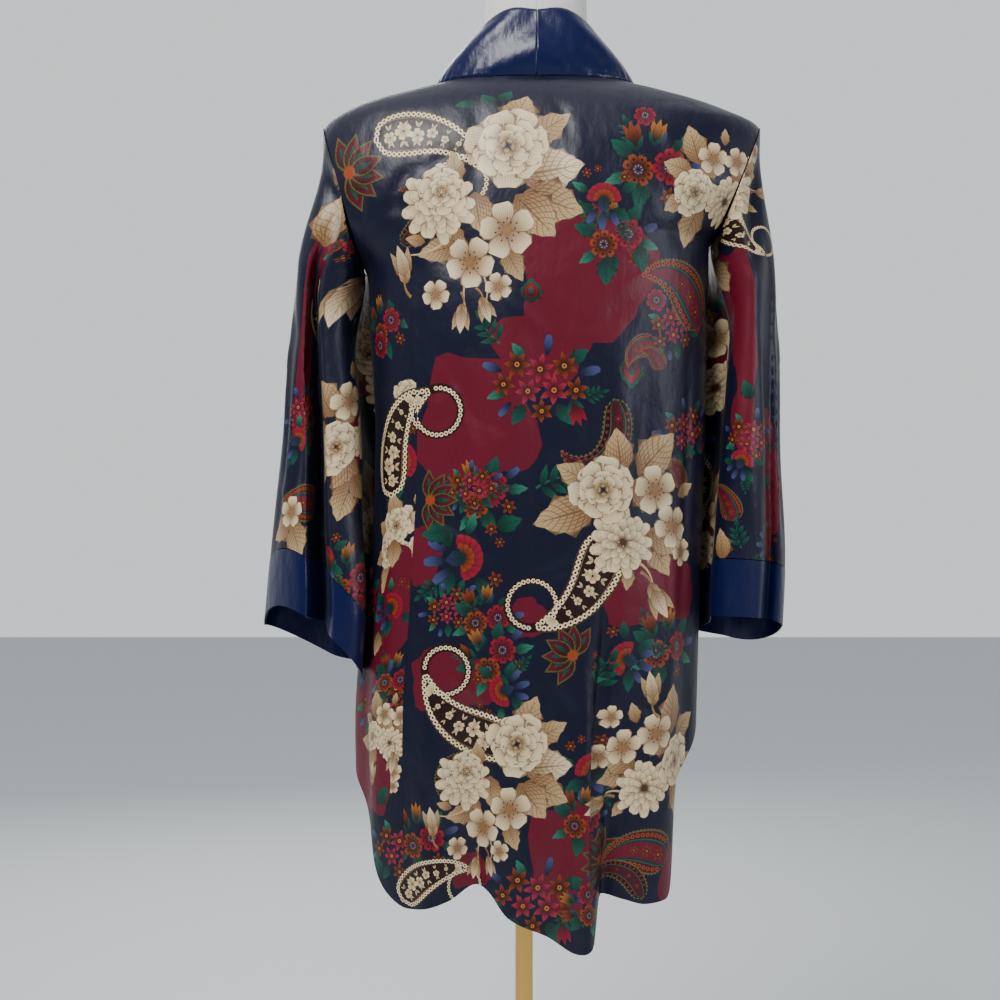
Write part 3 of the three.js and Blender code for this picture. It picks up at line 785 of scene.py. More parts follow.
def bud() -> Print:
    """A closed cream bud on a stem, one unit high."""
    return [
        stem(0.1, -0.9, 0, -0.2, 0.15, 0.05, Ink.TAN),
        lobe((0, -0.35), (-0.34, 0.62), 0.2, Lobe.POINTED, Ink.UMBER, Ink.CREAM, 6),
        lobe((0, -0.35), (0.34, 0.62), 0.2, Lobe.POINTED, Ink.UMBER, Ink.CREAM, 6),
        lobe((0, -0.38), (0, 0.75), 0.26, Lobe.POINTED, Ink.TAN, Ink.IVORY, 7),
        lobe((0, -0.45), (0.22, -0.05), 0.1, Lobe.POINTED, Ink.TAN, Ink.CREAM, 5),
        lobe((0, -0.45), (-0.22, -0.05), 0.1, Lobe.POINTED, Ink.TAN, Ink.CREAM, 5),
    ]


def leaf(low: Ink = Ink.TAN, high: Ink = Ink.CREAM, half: float = 0.3) -> Print:
    """A toothed leaf along x, one unit long from the origin.

    Args:
        low: Colour at its base.
        high: Colour at its tip.
        half: Half of its width.

    Returns:
        The patch.
    """
    return [lobe((0, 0), (1, 0), half, Lobe.SERRATED, low, high, 12)]


def gather(parts: Iterable[tuple[Print, float, float, float, float]]) -> Print:
    """Motifs set down together, later ones on top.

    Args:
        parts: Each motif with its x, y, turn in degrees and size.

    Returns:
        All of their patches.
    """
    return [p.moved((x, y), turn, size, False) for motif, x, y, turn, size in parts for p in motif]


def sprig() -> Print:
    """A small stem with leaves in pairs, one unit long up y."""
    low, high, pairs = Ink.FOREST, Ink.TEAL, 3
    made = [stem(0, 0, 0.06, 1, 0.08, 0.03, high)]
    for i in range(pairs):
        y = 0.12 + 0.7 * i / pairs
        for side in (-1, 1):
            reach = 0.44 - 0.07 * i
            made.append(lobe((0.02, y), (side * reach, y + 0.3), 0.1, Lobe.POINTED, low, high, 6))
    return made + [lobe((0.05, 0.8), (0.06, 1.25), 0.11, Lobe.POINTED, low, high, 6)]


def bouquet() -> Print:
    """Cream peony, daisy, blossoms, buds and toothed leaves, about a hundred units each way."""
    return gather((
        (leaf(half=0.34), 30, 74, 72, 58), (leaf(half=0.3), 46, 66, 34, 56), (leaf(half=0.3), 52, 44, 6, 46),
        (leaf(Ink.TAN, Ink.IVORY, 0.4), 40, 30, 10, 68), (leaf(half=0.36), 44, 12, -18, 66),
        (leaf(half=0.4), 36, 10, -46, 60), (leaf(), -22, 24, 104, 34), (leaf(half=0.4), -6, 14, -80, 44),
        (leaf(half=0.38), -26, -18, -100, 40), (leaf(), -22, -40, 192, 46), (leaf(), 26, -44, -62, 40),
        ([stem(-30, -30, -76, -48, 0.12, 1.6, Ink.CREAM)], 0, 0, 0, 1),
        ([stem(-8, -60, -14, -104, -0.1, 1.4, Ink.CREAM)], 0, 0, 0, 1),
        ([stem(-4, -60, 8, -98, 0.12, 1.2, Ink.CREAM)], 0, 0, 0, 1),
        (leaf(), -58, -36, 168, 22), (bud(), -84, -62, 12, 34), (bud(), -18, -112, 176, 26),
        (bud(), 6, -104, 200, 24), (blossom(), -46, -90, 40, 16), (blossom(), 20, -84, 20, 15),
        (daisy(), -44, 2, 0, 40), (peony(), -40, 14, 64, 27), (peony(), 28, 62, 10, 43),
        (blossom(), 28, -26, 12, 30), (blossom(), -10, -58, 40, 27),
    ))


def fan() -> Print:
    """A wider spray of cream peony, daisy, blossoms and long leaves, about eighty units each way."""
    return gather((
        (leaf(half=0.34), -32, 14, 152, 44), (leaf(half=0.32), -30, -6, 196, 66),
        (leaf(half=0.36), -6, 26, 98, 46), (leaf(half=0.36), 12, 24, 46, 60),
        (leaf(half=0.4), 4, 18, -30, 48),
        (leaf(), 22, -34, -58, 50), (leaf(half=0.36), 24, -30, -28, 46), (leaf(), 60, 4, 30, 26),
        ([stem(8, -60, 30, -84, 0.16, 1.5, Ink.CREAM)], 0, 0, 0, 1),
        (leaf(), 4, -66, -98, 24), (bud(), 34, -96, -150, 34), (blossom(), 66, -52, 30, 15),
        (daisy(), -4, -42, 0, 34), (peony(), -24, 10, 30, 33), (blossom(), 32, 10, 8, 25),
        (blossom(), 52, -26, 30, 22),
    ))


class Posy(Enum):
    """What a cluster of little flowers is made of."""

    STARS = "stars"
    ROSETTES = "rosettes"
    BLOOM = "one fan-shaped bloom"


def posy(kind: Posy) -> Print:
    """A cluster of little coloured flowers among green and slate leaves, about forty units each way.

    Args:
        kind: What it is made of.

    Returns:
        The patches.
    """
    red, rust = star(Ink.WINE, Ink.PINK), star(Ink.BARK, Ink.RUST)
    green, fresh = leaf(Ink.FOREST, Ink.TEAL, 0.3), leaf(Ink.FOREST, Ink.MINT, 0.24)
    slate = [lobe((0, 0), (1, 0), 0.22, Lobe.NARROW, Ink.NAVY, Ink.LILAC, 6)]
    if kind is Posy.STARS:
        return gather((
            (fresh, -14, 14, 128, 20), (green, 26, 12, 34, 22), (fresh, -30, -14, 200, 20),
            (green, 16, -26, -52, 24), (green, -14, -26, -120, 22), (slate, 34, 2, 12, 22),
            (slate, -34, 4, 160, 20), (slate, 6, 18, 84, 20), (slate, -26, -24, 230, 17),
            (sprig(), 40, -20, -70, 20),
            (red, 0, 6, 0, 14), (rust, 22, 9, 20, 13), (rust, -21, 10, 40, 13), (red, 13, -13, 10, 14),
            (red, -11, -14, 50, 12.5), (rust, 33, -13, 0, 12), (rust, -33, -8, 30, 11),
            (rust, 2, -32, 12, 11),
            (tulip(Ink.WINE, Ink.ROSE), 34, -34, 200, 20),
        ))
    if kind is Posy.ROSETTES:
        return gather((
            (green, 14, 14, 40, 27), (green, -20, 8, 150, 26), (fresh, 24, -6, -26, 26),
            (green, -8, -12, -96, 30), (fresh, -22, -10, 205, 24), (slate, 6, 18, 96, 22),
            (slate, 28, 4, 10, 22),
            (sprig(), -20, 20, 30, 24), (tulip(Ink.BARK, Ink.RUST), -22, 28, 20, 22),
            (tulip(Ink.BARK, Ink.AMBER), 0, 34, -10, 20),
            (rosette(Ink.WINE, Ink.ROSE, Ink.SLATE), 15, 3, 0, 17),
            (rosette(Ink.BARK, Ink.RUST, Ink.SLATE), -14, -4, 20, 16), (rust, 18, -24, 0, 9),
        ))
    bloom: Print = []
    for reach, half, low, high, count in (
            (24, 5.2, Ink.WINE, Ink.ROSE, 9), (15, 3.6, Ink.BARK, Ink.RUST, 7)):
        for turn in np.linspace(-80, 80, count):
            a = math.radians(turn)
            tip = (reach * math.cos(a), reach * math.sin(a))
            bloom.append(lobe((0, 0), tip, half, Lobe.ROUND, low, high, 6))
    return gather((
        (green, -8, 12, 110, 28), (green, -10, -12, 236, 28), (fresh, 10, 20, 60, 24),
        (green, 12, -22, -62, 24),
        (slate, -12, 0, 176, 26), (slate, -10, 8, 146, 24), (slate, -10, -8, 208, 24), (bloom, 0, 0, 0, 1),
        (leaf(Ink.FOREST, Ink.SLATE, 0.4), 6, 0, 180, 22), (sprig(), -26, -20, 120, 24),
        (rust, 34, 22, 0, 7), (rust, 30, -26, 20, 8), (rust, 40, 8, 40, 5.5),
    ))


def curl(length: float, start: float, bend: float, steps: int, sharp: float = 1.5) -> Array:
    """A line from the origin that turns more and more.

    Args:
        length: Its length.
        start: Its first direction, in degrees.
        bend: How far it turns in all, in degrees.
        steps: Points on it.
        sharp: How late it turns.

    Returns:
        The points.
    """
    s = np.linspace(0, 1, steps)
    heading = np.radians(start + bend * s ** sharp)
    step = length / (steps - 1)
    moves = np.column_stack([np.cos(heading), np.sin(heading)])[:-1] * step
    return np.concatenate([[[0, 0]], np.cumsum(moves, axis=0)])


def drop(line: Array, half: float, rise: float = 0.55) -> Array:
    """Half widths of a paisley along its line: a round bulb that thins to a tail."""
    s = np.linspace(0, 1, len(line))
    return half * np.maximum(np.sin(np.pi * s ** rise), 0) ** 0.8 + 0.02 * half


def beads(line: Array, gap: float, radius: float, ink: Ink) -> Print:
    """Dots at even steps along a line."""
    steps = np.concatenate([[0], np.cumsum(np.linalg.norm(np.diff(line, axis=0), axis=1))])
    at = np.arange(0, steps[-1], gap)
    return [disc(np.interp(d, steps, line[:, 0]), np.interp(d, steps, line[:, 1]), radius, ink, 6)
            for d in at]


def dark_paisley() -> Print:
    """A dark teardrop with a beaded edge, a pale floral fill and a curled tail, in millimetres."""
    line = curl(124, 90, 74, 26, 1.3)
    wide = drop(line, 21, 0.5)
    along = unit(np.gradient(line, axis=0))
    side = np.column_stack([-along[:, 1], along[:, 0]])
    hook = curl(132, math.degrees(math.atan2(along[-1, 1], along[-1, 0])), 318, 34, 0.95) + line[-1]
    end = np.linspace(3.6, 2.2, len(hook))
    made = [ribbon(hook, end + 1.2, Ink.BARK), ribbon(line, wide + 4.2, Ink.UMBER),
            ribbon(line, wide + 3.0, Ink.BARK), ribbon(line, wide * 0.84, Ink.TAN),
            ribbon(line, wide * 0.8, Ink.BARK)]
    for path, gap, radius in ((hook[2:], 4.9, 2.5), (strip(line, wide), 5.4, 3.0)):
        made += beads(path, gap, radius, Ink.IVORY) + beads(path, gap, radius * 0.45, Ink.BARK)
    for turn in range(5):
        a = math.radians(math.degrees(math.atan2(*(hook[-1] - hook[-3])[::-1])) - 56 + 28 * turn)
        made.append(lobe(hook[-1], hook[-1] + 9 * np.array([math.cos(a), math.sin(a)]), 2.2, Lobe.ROUND,
                         Ink.CREAM, Ink.IVORY, 5))
    pale = blossom(Ink.CREAM, Ink.IVORY, Ink.BARK, Ink.UMBER)
    for at, size in ((3, 7.0), (6, 9.5), (9, 8.0), (12, 6.0), (15, 4.4), (18, 3.0)):
        x, y = line[at] + side[at] * size * 0.3 * (1 if at % 2 else -1)
        made += gather(((pale, x, y, 31 * at, size),))
        for turn in (-1, 1):
            for lean_in in (0.5, -0.4):
                reach = side[at] * turn * wide[at] * 0.66
                made.append(lobe(line[at] + reach * 0.5, line[at] + reach + along[at] * size * lean_in,
                                 size * 0.2, Lobe.POINTED, Ink.CREAM, Ink.IVORY, 5))
    return made


def bright_paisley(inks: Sequence[Ink], fill: Ink, bend: float, half: float) -> Print:
    """A teardrop of nested colours with dots and little flowers, in millimetres.

    Args:
        inks: The bands, from the edge inwards.
        fill: The little flowers' colour.
        bend: How far its tail turns, in degrees.
        half: Half of its width.

    Returns:
        The patches.
    """
    line = curl(100, 90, bend, 24)
    wide = drop(line, half)
    made = beads(strip(line, wide), 4.6, 1.7, inks[0])
    for ink, share in zip(inks, (1.0, 0.93, 0.56, 0.5, 0.4)):
        made.append(ribbon(line, wide * share, ink))
    middle = strip(line, wide * 0.75)[2:-2]
    made += beads(middle, 6.4, half * 0.11, fill) + beads(middle, 6.4, half * 0.045, Ink.BARK)
    bloom = star(Ink.WINE, fill)
    for at, share in ((4, 0.3), (8, 0.28), (12, 0.2)):
        made += gather(((bloom, line[at][0], line[at][1], 40 * at, half * share),))
    return made


def lotus() -> Print:
    """A fan of leaf-like petals in olive, red and green, one unit in radius."""
    made: Print = []
    for turn in (0, 180, 32, 148, 60, 120, 90):
        a = math.radians(turn)
        ray = np.array([math.cos(a), math.sin(a)])
        made.append(lobe((0, 0), ray, 0.25, Lobe.POINTED, Ink.OLIVE, Ink.OLIVE, 9))
        made.append(lobe(ray * 0.1, ray * 0.9, 0.19, Lobe.POINTED, Ink.WINE, Ink.CRIMSON, 8))
        made.append(lobe(ray * 0.2, ray * 0.7, 0.08, Lobe.POINTED, Ink.FOREST, Ink.TEAL, 5))
    return made + [disc(0, 0.05, 0.17, Ink.RUST)]


def ground(width: float, height: float, seed: int) -> Print:
    """An uneven patch of crimson ground, in millimetres across and up."""
    a = np.linspace(0, 2 * np.pi, 30, endpoint=False)
    r = 1 + 0.1 * np.sin(3 * a + seed) + 0.07 * np.sin(5 * a + 2.1 * seed) + 0.04 * np.sin(9 * a + seed)
    x, y = power(np.cos(a), 0.75), power(np.sin(a), 0.75)
    outline = np.column_stack([x * width / 2, y * height / 2]) * r[:, None]
    start = np.array([0, -height / 2])
    return [Patch(outline, Ink.CRIMSON.value, Ink.CRIMSON.value, start, -start, np.full(2, width))]


class Motif(Enum):
    """The motifs that the print is put together from."""

    BOUQUET = 0
    FAN = 1
    POSY_RED = 2
    POSY_RUST = 3
    POSY_BLUE = 4
    DARK_PAISLEY = 5
    FIRE_PAISLEY = 6
    OLIVE_PAISLEY = 7
    LOTUS = 8
    BLOSSOM = 9
    BUD = 10
    SPRIG = 11
    GROUND = 12
    PEONY = 13
    GEM = 14
    LEAF = 15
    GREEN = 16
    ROSETTE = 17


(BOUQUET, FAN, POSY_RED, POSY_RUST, POSY_BLUE, DARK_PAISLEY, FIRE_PAISLEY, OLIVE_PAISLEY, LOTUS,
 BLOSSOM, BUD, SPRIG, GROUND, PEONY, GEM, LEAF, GREEN, ROSETTE) = Motif


class PrintBook:
    """Draws each motif once and sets copies of it down."""

    def __init__(self) -> None:
        """Draws the motifs."""
        self.drawn: dict[Motif, Print] = {
            BOUQUET: bouquet(), FAN: fan(), POSY_RED: posy(Posy.STARS), POSY_RUST: posy(Posy.ROSETTES),
            POSY_BLUE: posy(Posy.BLOOM), DARK_PAISLEY: dark_paisley(),
            FIRE_PAISLEY: bright_paisley((Ink.OLIVE, Ink.WINE, Ink.TEAL, Ink.FOREST, Ink.CRIMSON),
                                         Ink.RUST, 90, 27),
            OLIVE_PAISLEY: bright_paisley((Ink.OLIVE, Ink.MIDNIGHT, Ink.OLIVE, Ink.FOREST, Ink.WINE),
                                          Ink.ROSE, 170, 13),
            LOTUS: lotus(), BLOSSOM: blossom(), BUD: bud(), SPRIG: sprig(), PEONY: peony(), GEM: gem(),
            LEAF: leaf(half=0.38), GREEN: leaf(Ink.FOREST, Ink.TEAL, 0.34),
            ROSETTE: rosette(Ink.WINE, Ink.ROSE, Ink.SLATE),
        }

    def set_down(self, motif: Motif, at: Array, turn: float, size: float, flip: bool) -> Print:
        """A copy of a motif in the plan.

        Args:
            motif: Which one.
            at: Its plan point.
            turn: Degrees anticlockwise.
            size: Its scale in millimetres a unit.
            flip: Whether left and right are changed over.

        Returns:
            Its patches.
        """
        if motif is GROUND:
            return [p.moved(at, 0, 1, False) for p in ground(size, turn, int(at[0]) + int(at[1]))]
        return [p.moved(at, turn, size, flip) for p in self.drawn[motif]]


@dataclass(frozen=True)
class Placed:
    """A motif on a panel. A ground has its width and height in place of its turn and size."""

    motif: Motif
    x: float
    y: float
    turn: float = 0.0
    size: float = 1.0
    flip: bool = False
    seen: bool = True


def in_photo(*rows: tuple) -> tuple[Placed, ...]:
    """Motifs at pixels across and down the photo, with their turns in degrees, sizes and flips."""
    return tuple(Placed(*row) for row in rows)


def on_cloth(*rows: tuple) -> tuple[Placed, ...]:
    """Motifs at a body angle or a distance round a sleeve, and a height in millimetres."""
    return tuple(replace(item, seen=False) for item in in_photo(*rows))


def creased(*rows: tuple) -> tuple[Crease, ...]:
    """Creases from rows of two ends, a width, a depth and a bow, in plan millimetres."""
    return tuple(Crease(*row) for row in rows)


BACK_PRINT = in_photo(
    (GROUND, 474, 422, 128, 120), (GROUND, 584, 274, 136, 138), (GROUND, 656, 590, 76, 112),
    (GROUND, 452, 680, 60, 92), (GROUND, 562, 852, 110, 66), (GROUND, 540, 350, 74, 96),
    (GROUND, 424, 556, 60, 34), (GROUND, 528, 618, 40, 34), (GROUND, 468, 872, 34, 44),
    (GROUND, 672, 880, 60, 40), (GREEN, 478, 96, 200, 26), (GREEN, 494, 100, 120, 26),
    (GREEN, 500, 96, 60, 24), (POSY_RUST, 655, 165, -6, 1.12), (ROSETTE, 647, 110, 0, 12),
    (POSY_RUST, 616, 238, 10, 0.95), (POSY_BLUE, 604, 200, 90, 0.8), (GREEN, 607, 256, -92, 30),
    (GREEN, 640, 244, -80, 28), (POSY_RED, 540, 376, 0, 1.1), (SPRIG, 500, 344, 40, 34),
    (POSY_RED, 676, 318, 40, 0.78), (ROSETTE, 658, 298, 10, 12), (ROSETTE, 685, 304, 0, 13),
    (GEM, 632, 372, 180, 17), (GEM, 531, 291, 0, 13), (POSY_RUST, 484, 496, 30, 0.9),
    (POSY_RED, 470, 484, 10, 0.62), (POSY_BLUE, 460, 558, 10, 1.05), (SPRIG, 536, 488, -70, 44),
    (GREEN, 452, 530, 190, 34), (GREEN, 496, 528, 20, 28), (POSY_RED, 448, 606, 30, 0.62),
    (POSY_RUST, 486, 620, 0, 0.78), (POSY_RUST, 494, 660, 40, 0.85), (POSY_BLUE, 504, 690, 200, 0.72),
    (POSY_RED, 690, 426, 20, 0.8), (GREEN, 690, 446, -20, 20), (POSY_RUST, 668, 652, 0, 0.95),
    (POSY_BLUE, 628, 660, 160, 0.8), (POSY_BLUE, 590, 770, 100, 0.85), (POSY_RUST, 582, 820, 0, 0.8),
    (POSY_RED, 536, 890, -10, 1.0), (POSY_RUST, 584, 900, 80, 0.7), (POSY_RUST, 424, 842, 10, 0.85),
    (SPRIG, 600, 690, -20, 36), (LOTUS, 574, 656, 60, 34), (LOTUS, 344, 166, -70, 44),
    (LOTUS, 428, 500, -90, 32), (LOTUS, 600, 860, 40, 34), (OLIVE_PAISLEY, 400, 240, -60, 0.8),
    (OLIVE_PAISLEY, 614, 400, 196, 1.1, True), (FIRE_PAISLEY, 706, 322, 24, 1.02),
    (FIRE_PAISLEY, 656, 342, 96, 0.42), (FIRE_PAISLEY, 664, 368, 20, 0.34),
    (FIRE_PAISLEY, 688, 488, 14, 0.42), (FIRE_PAISLEY, 664, 864, 60, 0.8), (OLIVE_PAISLEY, 470, 760, 96, 0.7),
    (OLIVE_PAISLEY, 640, 900, 20, 0.8), (DARK_PAISLEY, 374, 134, -76, 1.0, True),
    (DARK_PAISLEY, 388, 495, 6, 1.0, True), (DARK_PAISLEY, 606, 534, 174, 1.0, True),
    (DARK_PAISLEY, 512, 742, 84, 0.96, True), (DARK_PAISLEY, 402, 904, -36, 0.72, True),
    (BOUQUET, 480, 205, 0, 0.98), (FAN, 627, 500, 0, 1.02), (BOUQUET, 492, 786, -6, 0.74),
    (FAN, 664, 760, -40, 0.86, True), (FAN, 712, 176, 60, 0.72), (BUD, 652, 694, 12, 30),
    (BLOSSOM, 614, 718, 0, 12),
)
FRONT_LEFT_SEEN = in_photo(
    (GROUND, 366, 790, 70, 60), (GROUND, 360, 688, 44, 30), (GROUND, 396, 590, 80, 40),
    (POSY_RUST, 382, 322, 20, 0.8), (ROSETTE, 376, 340, 0, 14), (POSY_RED, 384, 262, 0, 0.55),
    (POSY_BLUE, 388, 610, 40, 0.7), (POSY_RUST, 390, 684, 0, 0.66), (POSY_RED, 398, 850, 0, 0.82),
    (GREEN, 374, 812, 60, 24), (GREEN, 380, 884, 120, 22), (DARK_PAISLEY, 388, 495, 6, 1.0, True),
    (PEONY, 394, 526, 0, 20), (LEAF, 392, 540, -84, 30), (FAN, 376, 735, 60, 0.5), (BUD, 391, 764, 180, 20),
    (BUD, 366, 785, 0, 22), (LEAF, 374, 636, -90, 26), (DARK_PAISLEY, 402, 904, -36, 0.72, True),
)
FRONT_LEFT_PRINT = on_cloth(
    (GROUND, 335, 1180, 150, 90), (GROUND, 318, 900, 180, 80), (GROUND, 360, 700, 160, 110),
    (GROUND, 400, 860, 120, 60), (POSY_RED, 395, 770, 0, 1.0), (POSY_BLUE, 400, 1010, 30, 0.9),
    (POSY_RUST, 340, 1270, 0, 1.0), (POSY_RED, 320, 1120, 40, 1.1), (POSY_BLUE, 350, 980, 0, 1.0),
    (POSY_RUST, 310, 800, 0, 1.0), (POSY_RED, 350, 640, 0, 1.1), (POSY_BLUE, 305, 605, 0, 0.9),
    (POSY_RED, 315, 1010, 0, 0.8), (POSY_RUST, 370, 860, 0, 0.9), (FIRE_PAISLEY, 350, 1060, 20, 0.8),
    (OLIVE_PAISLEY, 315, 690, -20, 0.8), (DARK_PAISLEY, 330, 1290, 200, 0.8),
    (DARK_PAISLEY, 352, 745, 20, 0.85), (FAN, 325, 1180, 0, 0.95), (BOUQUET, 335, 890, 30, 0.7),
    (FAN, 325, 640, 120, 0.9), (FAN, 402, 930, 60, 0.62), (PEONY, 404, 1075, 0, 19),
    (FAN, 398, 715, -20, 0.5), (FAN, 340, 1365, 90, 0.5),
)
FRONT_RIGHT_PRINT = on_cloth(
    (GROUND, 225, 1230, 120, 90), (GROUND, 205, 1000, 170, 80), (GROUND, 225, 690, 150, 100),
    (GROUND, 190, 800, 120, 60), (POSY_RUST, 210, 1300, 0, 1.0), (POSY_RED, 226, 1150, 0, 1.1),
    (POSY_BLUE, 195, 1120, 0, 1.0), (POSY_RED, 190, 960, 0, 1.0), (POSY_RUST, 228, 900, 0, 1.0),
    (POSY_BLUE, 200, 760, 0, 1.0), (POSY_RED, 230, 610, 0, 1.1), (POSY_RUST, 236, 760, 0, 0.9),
    (POSY_RED, 186, 850, 0, 0.9), (POSY_BLUE, 232, 1040, 0, 0.8), (OLIVE_PAISLEY, 190, 1030, 0, 0.9),
    (FIRE_PAISLEY, 226, 800, 30, 0.75), (DARK_PAISLEY, 236, 1170, 10, 0.8, True),
    (DARK_PAISLEY, 200, 690, -30, 0.85), (FAN, 212, 1220, 180, 0.9), (BOUQUET, 215, 960, -40, 0.66),
    (FAN, 214, 640, 40, 0.9, True), (FAN, 210, 1365, 0, 0.5), (FAN, 184, 720, 0, 0.45),
)
SLEEVE_GROUNDS = on_cloth((GROUND, -90, 1150, 180, 90), (GROUND, -100, 950, 120, 70))
SLEEVE_POSIES = on_cloth(
    (POSY_RED, -60, 1240, 0, 0.8), (POSY_BLUE, -110, 1160, 0, 0.9), (POSY_RUST, -60, 1030, 0, 0.9),
    (POSY_RED, -130, 930, 0, 0.9),
)
SLEEVE_LEFT_PRINT = in_photo(
    (GROUND, 307, 320, 250, 30), (GROUND, 352, 460, 110, 36), (GROUND, 340, 215, 60, 24),
) + SLEEVE_GROUNDS + in_photo(
    (POSY_RUST, 326, 247, 0, 0.55), (POSY_RED, 298, 410, 30, 0.66), (POSY_BLUE, 296, 440, 30, 0.6),
    (POSY_RUST, 352, 582, 10, 0.95), (ROSETTE, 358, 604, 0, 14), (POSY_BLUE, 330, 560, 100, 0.7),
    (SPRIG, 322, 545, 0, 34), (FIRE_PAISLEY, 312, 508, 70, 0.7), (DARK_PAISLEY, 316, 280, 150, 0.5),
    (BUD, 338, 292, 190, 52), (LEAF, 314, 246, 92, 60), (LEAF, 316, 190, 60, 34), (FAN, 350, 428, 86, 0.86),
    (LEAF, 352, 480, -100, 44), (LEAF, 352, 476, -40, 36), (LEAF, 290, 520, -60, 44),
    (LEAF, 288, 520, 215, 38), (BLOSSOM, 290, 512, 0, 17),
) + SLEEVE_POSIES + on_cloth(
    (DARK_PAISLEY, -100, 1190, 200, 0.8), (FAN, -80, 1120, 0, 0.85),
    (FAN, -100, 950, 60, 0.8), (FIRE_PAISLEY, -40, 900, 10, 0.7),
)
SLEEVE_RIGHT_PRINT = in_photo(
    (GROUND, 742, 320, 150, 34), (GROUND, 770, 480, 160, 32), (GROUND, 742, 420, 70, 26),
) + SLEEVE_GROUNDS + in_photo(
    (POSY_RED, 752, 434, 0, 0.72), (POSY_BLUE, 740, 462, 60, 0.55), (GREEN, 750, 400, 110, 22),
    (GREEN, 768, 492, 60, 22), (FIRE_PAISLEY, 732, 520, 10, 0.5), (SPRIG, 740, 548, 10, 26),
    (POSY_BLUE, 768, 545, 0, 0.6), (DARK_PAISLEY, 744, 196, 184, 0.62), (FAN, 732, 176, 60, 0.8),
    (LEAF, 734, 214, -88, 52), (LEAF, 730, 250, -70, 44), (BLOSSOM, 738, 238, 10, 15),
    (LEAF, 722, 560, 96, 34),
) + SLEEVE_POSIES + on_cloth(
    (OLIVE_PAISLEY, -120, 1050, 0, 0.8), (FAN, -80, 1120, 40, 0.85),
    (FAN, -100, 950, 0, 0.8), (DARK_PAISLEY, -90, 960, -10, 0.7),
)

BACK_CREASES = creased(
    (-118, 1330, -176, 1236, 9, -3.4, 6), (-104, 1310, -168, 1262, 8, 2.2, 4),
    (-150, 1290, -40, 1180, 14, -3, -8), (-60, 1396, -66, 1240, 12, -2.7, 4),
    (40, 1390, 58, 1190, 16, 2.7, -5), (96, 1340, 160, 1216, 12, -4.2, 8), (120, 1372, 178, 1262, 9, 2.2, -4),
    (-20, 1250, -44, 960, 22, 3.3, 8), (22, 1200, 10, 860, 20, -3.6, -6), (76, 1180, 92, 820, 18, 3.6, 10),
    (128, 1160, 118, 880, 14, -3.6, -8), (-92, 1150, -82, 850, 14, -3.6, 6),
    (-126, 1110, -112, 790, 10, 3.3, -5), (-52, 1000, -38, 640, 14, -3.9, 5), (54, 960, 60, 590, 12, -3.6, 4),
    (150, 980, 142, 680, 10, 3.6, 3), (0, 1080, 60, 1040, 8, -1.2, 5), (-70, 1066, -8, 1034, 7, -1.2, -4),
    (-100, 940, -30, 905, 7, 1.2, 4), (-10, 880, 70, 912, 8, -1.2, 5), (100, 1270, 30, 1226, 9, -1.4, 4),
    (-110, 700, -100, 590, 9, -2.4, 3), (140, 700, 132, 600, 9, 2.2, 3), (16, 700, 8, 560, 11, 3, 3),
    (78, 960, 66, 520, 7, -8, 3), (58, 890, 50, 540, 8, 3.2, 2), (95, 870, 86, 540, 8, 2.8, -2),
    (74, 1168, 130, 1210, 7, 1.1, 3), (42, 1136, 108, 1178, 7, -1.1, -3), (56, 1244, 122, 1196, 7, 1.1, 4),
    (-112, 1054, -66, 1082, 7, 1.1, 2), (-104, 1136, -42, 1008, 8, -1.8, 5),
    (-170, 1320, -186, 1232, 7, -3.2, -4), (-8, 1398, -34, 1322, 7, -1.5, 2),
    (14, 1398, 38, 1312, 7, -1.5, 2), (172, 1160, 162, 800, 7, -2.6, 3), (-128, 1190, -134, 1010, 7, 2, 3),
    (-36, 1180, 26, 1130, 7, 1, -4), (110, 1040, 150, 990, 7, -1.2, 3), (-90, 800, -40, 760, 7, 1.2, 3),
    (20, 790, 56, 740, 7, -1.2, -3), (104, 760, 150, 724, 7, 1.2, 3), (-122, 650, -84, 628, 7, -1.4, 2),
    (60, 1330, 150, 1300, 7, -1.6, 4), (-70, 1330, -140, 1300, 7, 1.6, -4),
)
FRONT_CREASES = creased(
    (520, 1330, 560, 1190, 12, -3.9, 6), (560, 1200, 545, 900, 16, 3.6, 6),
    (600, 1130, 620, 760, 14, -3.9, -6), (650, 1060, 655, 720, 12, 3.3, 4), (510, 1000, 520, 640, 14, -3, 5),
    (270, 1320, 240, 1200, 12, -3.6, 5), (260, 1180, 272, 880, 14, 3.3, 5),
    (310, 1140, 300, 740, 13, -3.6, -5), (350, 1020, 346, 640, 12, 3, 4), (690, 1000, 700, 720, 10, -3, 4),
)
SLEEVE_CREASES = creased(
    (22, 1320, 34, 1130, 12, 3.9, 4), (66, 1250, 58, 1020, 10, -3.6, 4), (26, 1090, 30, 900, 10, -3.6, -4),
    (14, 1180, 44, 1120, 7, -1.4, 3), (18, 1000, 52, 955, 7, 1.4, 3), (-30, 1290, -44, 1060, 12, -3.9, 4),
    (-80, 1180, -74, 940, 12, 3.9, 4), (-118, 1100, -110, 900, 10, -3.3, 4), (-54, 1040, -50, 880, 10, 3, 3),
    (96, 1080, 92, 900, 9, 2, 3), (26, 1330, 84, 1200, 9, -11, 4), (12, 1240, 20, 900, 7, 2.4, 3),
    (42, 1210, 46, 900, 7, 2.6, -3), (54, 1180, 60, 900, 7, -2.6, 3), (30, 1150, 34, 920, 7, -2, -2),
    (6, 1140, 30, 1094, 7, 1.2, 2),
)


def mirrored(creases: Sequence[Crease]) -> tuple[Crease, ...]:
    """The creases with left and right changed over, a little softer and longer."""
    return tuple(replace(c, x0=-c.x0 * 0.92, x1=-c.x1 * 0.9, z0=c.z0 + 14, depth=c.depth * 0.85, bow=-c.bow)
                 for c in creases)


